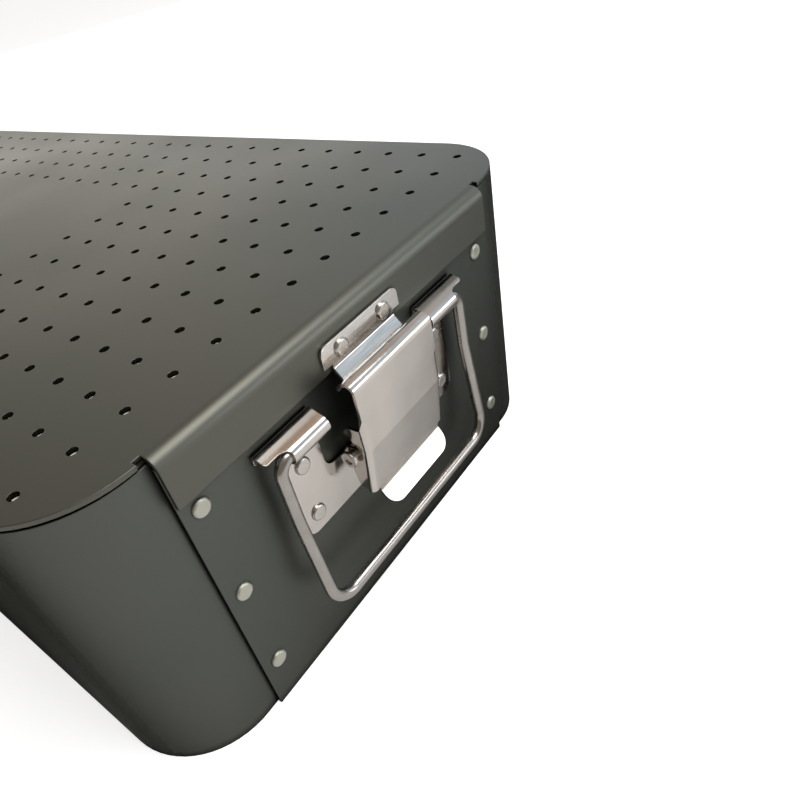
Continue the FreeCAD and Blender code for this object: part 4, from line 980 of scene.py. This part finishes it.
# Latch pins
# A stainless pin runs through the ears and the cover's side flanges. Its ends are
# opened into flat ring-shaped heads.
PIN_OUT, PIN_DOWN = 7.6, 54.2
PIN_RADIUS = 2 * MM
PIN_HEAD = 3.7 * MM
PIN_HEAD_LENGTH = 1.3 * MM
PIN_HALF = EAR_MIDDLE * MM + STEEL_SHEET / 2
PIN_SIDES = 28
PIN_HEAD_ROUND, PIN_HEAD_STEPS = 0.5 * MM, 3
EYELET_RING, EYELET_DEPTH = 1.2 * MM, 0.8 * MM


def rod(radius, y_low, y_high):
    """A round bar along Y through the pin's middle, alone and in edit mode."""
    bpy.ops.object.select_all(action="DESELECT")
    middle = at(PIN_OUT, PIN_DOWN) + Vector((0, (y_low + y_high) / 2, 0))
    bpy.ops.mesh.primitive_cylinder_add(vertices=PIN_SIDES, radius=radius,
                                        depth=y_high - y_low, location=middle,
                                        rotation=SIDEWAYS)
    bar = bpy.context.object
    bpy.ops.object.transform_apply(location=True, rotation=True)
    bpy.ops.object.mode_set(mode="EDIT")
    return bar


def latch_pin():
    shank = rod(PIN_RADIUS, -PIN_HALF - PIN_HEAD_LENGTH / 2, PIN_HALF + PIN_HEAD_LENGTH / 2)
    tidy_mesh()
    heads = []
    for side in (1, -1):
        inner, outer = side * PIN_HALF, side * (PIN_HALF + PIN_HEAD_LENGTH)
        head = rod(PIN_HEAD, min(inner, outer), max(inner, outer))
        pick(head, "FACE", lambda point: near(point.y, outer))
        bpy.ops.mesh.bevel(offset=PIN_HEAD_ROUND, segments=PIN_HEAD_STEPS, affect="EDGES")
        pick(head, "FACE", lambda point: near(point.y, outer))
        bpy.ops.mesh.inset(thickness=EYELET_RING)
        move_on(Vector((0, -side * EYELET_DEPTH, 0)))
        tidy_mesh()
        heads.append(head)
    pin = join([shank] + heads, "right_latch_pin")
    smooth(pin)
    return pin


pin = latch_pin()
for end, piece in (("left", opposite(pin, "left_latch_pin")), ("right", pin)):
    fit(piece, "base", "pin_steel", satin_steel, f"latch_pin_{end}")


# Latch springs
# A torsion spring of steel wire is wound close round the pin. One leg lies against the
# end panel and the other presses the cover's back, which keeps the latch shut.
SPRING_WIRE = 0.6 * MM
SPRING_RADIUS = 2.9 * MM
SPRING_HALF = 13 * MM
SPRING_LEG = 13 * MM
SPRING_PITCH = 2.1 * SPRING_WIRE
SPRING_WIRE_SIDES, SPRING_TURN_STEPS = 8, 18


def latch_spring():
    turns = round(2 * (SPRING_HALF - SPRING_WIRE) / SPRING_PITCH)
    pitch = 2 * (SPRING_HALF - SPRING_WIRE) / turns
    bpy.ops.object.select_all(action="DESELECT")
    bpy.ops.mesh.primitive_circle_add(vertices=SPRING_WIRE_SIDES, radius=SPRING_WIRE,
                                      location=(SPRING_RADIUS, 0, 0), rotation=SIDEWAYS)
    coil = bpy.context.object
    bpy.ops.object.transform_apply(location=True, rotation=True)
    apply_modifier(coil, "SCREW", axis="Z", angle=math.tau, screw_offset=pitch,
                   iterations=turns, steps=SPRING_TURN_STEPS,
                   render_steps=SPRING_TURN_STEPS, use_merge_vertices=False)
    coil.data.transform(Matrix.Translation((0, 0, SPRING_WIRE - SPRING_HALF)))
    coil.data.transform(Matrix.Rotation(math.pi / 2, 4, "X"))
    coil.data.transform(Matrix.Rotation(math.pi, 4, "Y"))
    coil.data.transform(Matrix.Translation(at(PIN_OUT, PIN_DOWN)))
    bpy.ops.object.mode_set(mode="EDIT")
    axis = at(PIN_OUT, PIN_DOWN)
    for side, way in ((1, -1), (-1, 1)):
        leg_y = side * (SPRING_HALF - SPRING_WIRE)
        pick(coil, "EDGE", lambda point: near(point.z, axis.z)
             and abs(point.y - leg_y) < SPRING_WIRE + SAME_PLACE and point.x < axis.x)
        move_on(Vector((0, 0, way * SPRING_LEG)))
    bpy.ops.mesh.select_all(action="SELECT")
    bpy.ops.mesh.region_to_loop()
    bpy.ops.mesh.edge_face_add()
    tidy_mesh()
    coil.name = coil.data.name = "right_latch_spring"
    smooth(coil)
    return coil


# Spring steel, zinc-bright: greyer than the stainless and evenly fine.
spring_steel = metal("spring_steel_wire", "#8F8C88", 0.3, 1.5 * MM)

coil = latch_spring()
for end, piece in (("left", opposite(coil, "left_latch_spring")), ("right", coil)):
    fit(piece, "base", "spring_steel", spring_steel, f"latch_spring_{end}")


# Bottom pan and rim
# An anodised aluminium pan, folded up all round inside the walls, closes the base. An
# angle frame inside the top of the walls is the seat of the lid's seal.
def finished_copy(node_name, new_name, skin, slot, edge, body):
    """A copy of a CAD piece, merged, with broken edges and the finish of the real one."""
    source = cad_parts[node_name]
    copy = bpy.data.objects.new(new_name, source.data.copy())
    bpy.context.scene.collection.objects.link(copy)
    alone(copy)
    bpy.ops.object.mode_set(mode="EDIT")
    bpy.ops.mesh.select_all(action="SELECT")
    bpy.ops.mesh.remove_doubles(threshold=SAME_POINT)
    bpy.ops.mesh.dissolve_limited(angle_limit=FLAT_ANGLE)
    bpy.ops.object.mode_set(mode="OBJECT")
    if edge:
        break_edges(copy, edge)
    smooth(copy)
    fit(copy, body, slot, skin, node_name)


finished_copy("bottom_pan", "bottom_pan_sheet", shaded_wall_skin, "pan_sheet", 0.3 * MM, "base")
finished_copy("rim_frame", "rim_angle", shaded_wall_skin, "pan_sheet", 0.2 * MM, "base")


# Filter holder and studs
# A stainless plate, punched out between bars, holds the filter against the vents. It sits
# on two stainless studs, welded under the blank middle of the lid.
finished_copy("retention_plate", "filter_holder", brushed_steel, "holder_steel", 0.15 * MM,
              "lid")
for side in ("front", "back"):
    finished_copy(f"filter_stud_{side}", f"{side}_stud", satin_steel, "stud_steel",
                  0.2 * MM, "lid")


# Lid seal
# A strip of grey silicone rubber, bonded under the lid plate, runs all round and rests on
# the rim frame when the lid is shut.
MATT_TONE = (0.88, 1.08)
MATT_STRENGTH = 0.4


def matt(name, colour, shine, grain, height):
    """A non-metal with an even colour and a fine surface grain."""
    made = bpy.data.materials.new(name)
    tree = blank_tree(made)
    place = add_node(tree, "ShaderNodeTexCoord").outputs["Object"]
    fine = add_node(tree, "ShaderNodeTexNoise", [("Scale", 1 / grain), ("Detail", 3)],
                    [("Vector", place)])
    tone = add_node(tree, "ShaderNodeMapRange", [("To Min", MATT_TONE[0]),
                                                 ("To Max", MATT_TONE[1])],
                    [("Value", fine.outputs["Fac"])])
    tint = add_node(tree, "ShaderNodeVectorMath", [("operation", "SCALE"),
                                                   (0, linear(colour)[:3])],
                    [("Scale", tone.outputs[0])])
    relief = add_node(tree, "ShaderNodeBump", [("Strength", MATT_STRENGTH),
                                               ("Distance", height)],
                      [("Height", fine.outputs["Fac"])])
    skin = add_node(tree, "ShaderNodeBsdfPrincipled", [("Roughness", shine)],
                    [("Base Color", tint.outputs[0]), ("Normal", relief.outputs["Normal"])])
    add_node(tree, "ShaderNodeOutputMaterial", (), [("Surface", skin.outputs[0])])
    return made


# Moulded silicone rubber: pale warm grey, with a soft waxy sheen and a talc-like unevenness.
silicone = matt("silicone_rubber", "#C9C6BC", 0.55, 3 * MM, 0.02 * MM)
finished_copy("lid_seal", "seal_strip", silicone, "seal_silicone", 0.6 * MM, "lid")


# Filter sheet
# A sheet of filter paper, cut out round the studs, lies flat against the vent holes.
# The filter holder keeps it there, so it has no fixings of its own.
# Pressed cellulose: off-white and quite matt, its fibres just visible as a fine tooth.
paper = matt("filter_paper", "#E4E1D6", 0.9, 0.8 * MM, 0.05 * MM)
finished_copy("filter_sheet", "filter_paper", paper, "filter_paper", 0, "lid")


# Filter knobs
# Two moulded knobs, each a disc with a finger wing, turn on the studs by a quarter turn
# and lock the filter holder.
# Glass-filled nylon from a spark-eroded mould: near black, with a fine even grain.
nylon = matt("moulded_nylon", "#2E3033", 0.45, 0.6 * MM, 0.01 * MM)
for side in ("front", "back"):
    finished_copy(f"filter_knob_{side}", f"{side}_knob", nylon, "knob_plastic", 0.5 * MM,
                  f"{side}_knob")
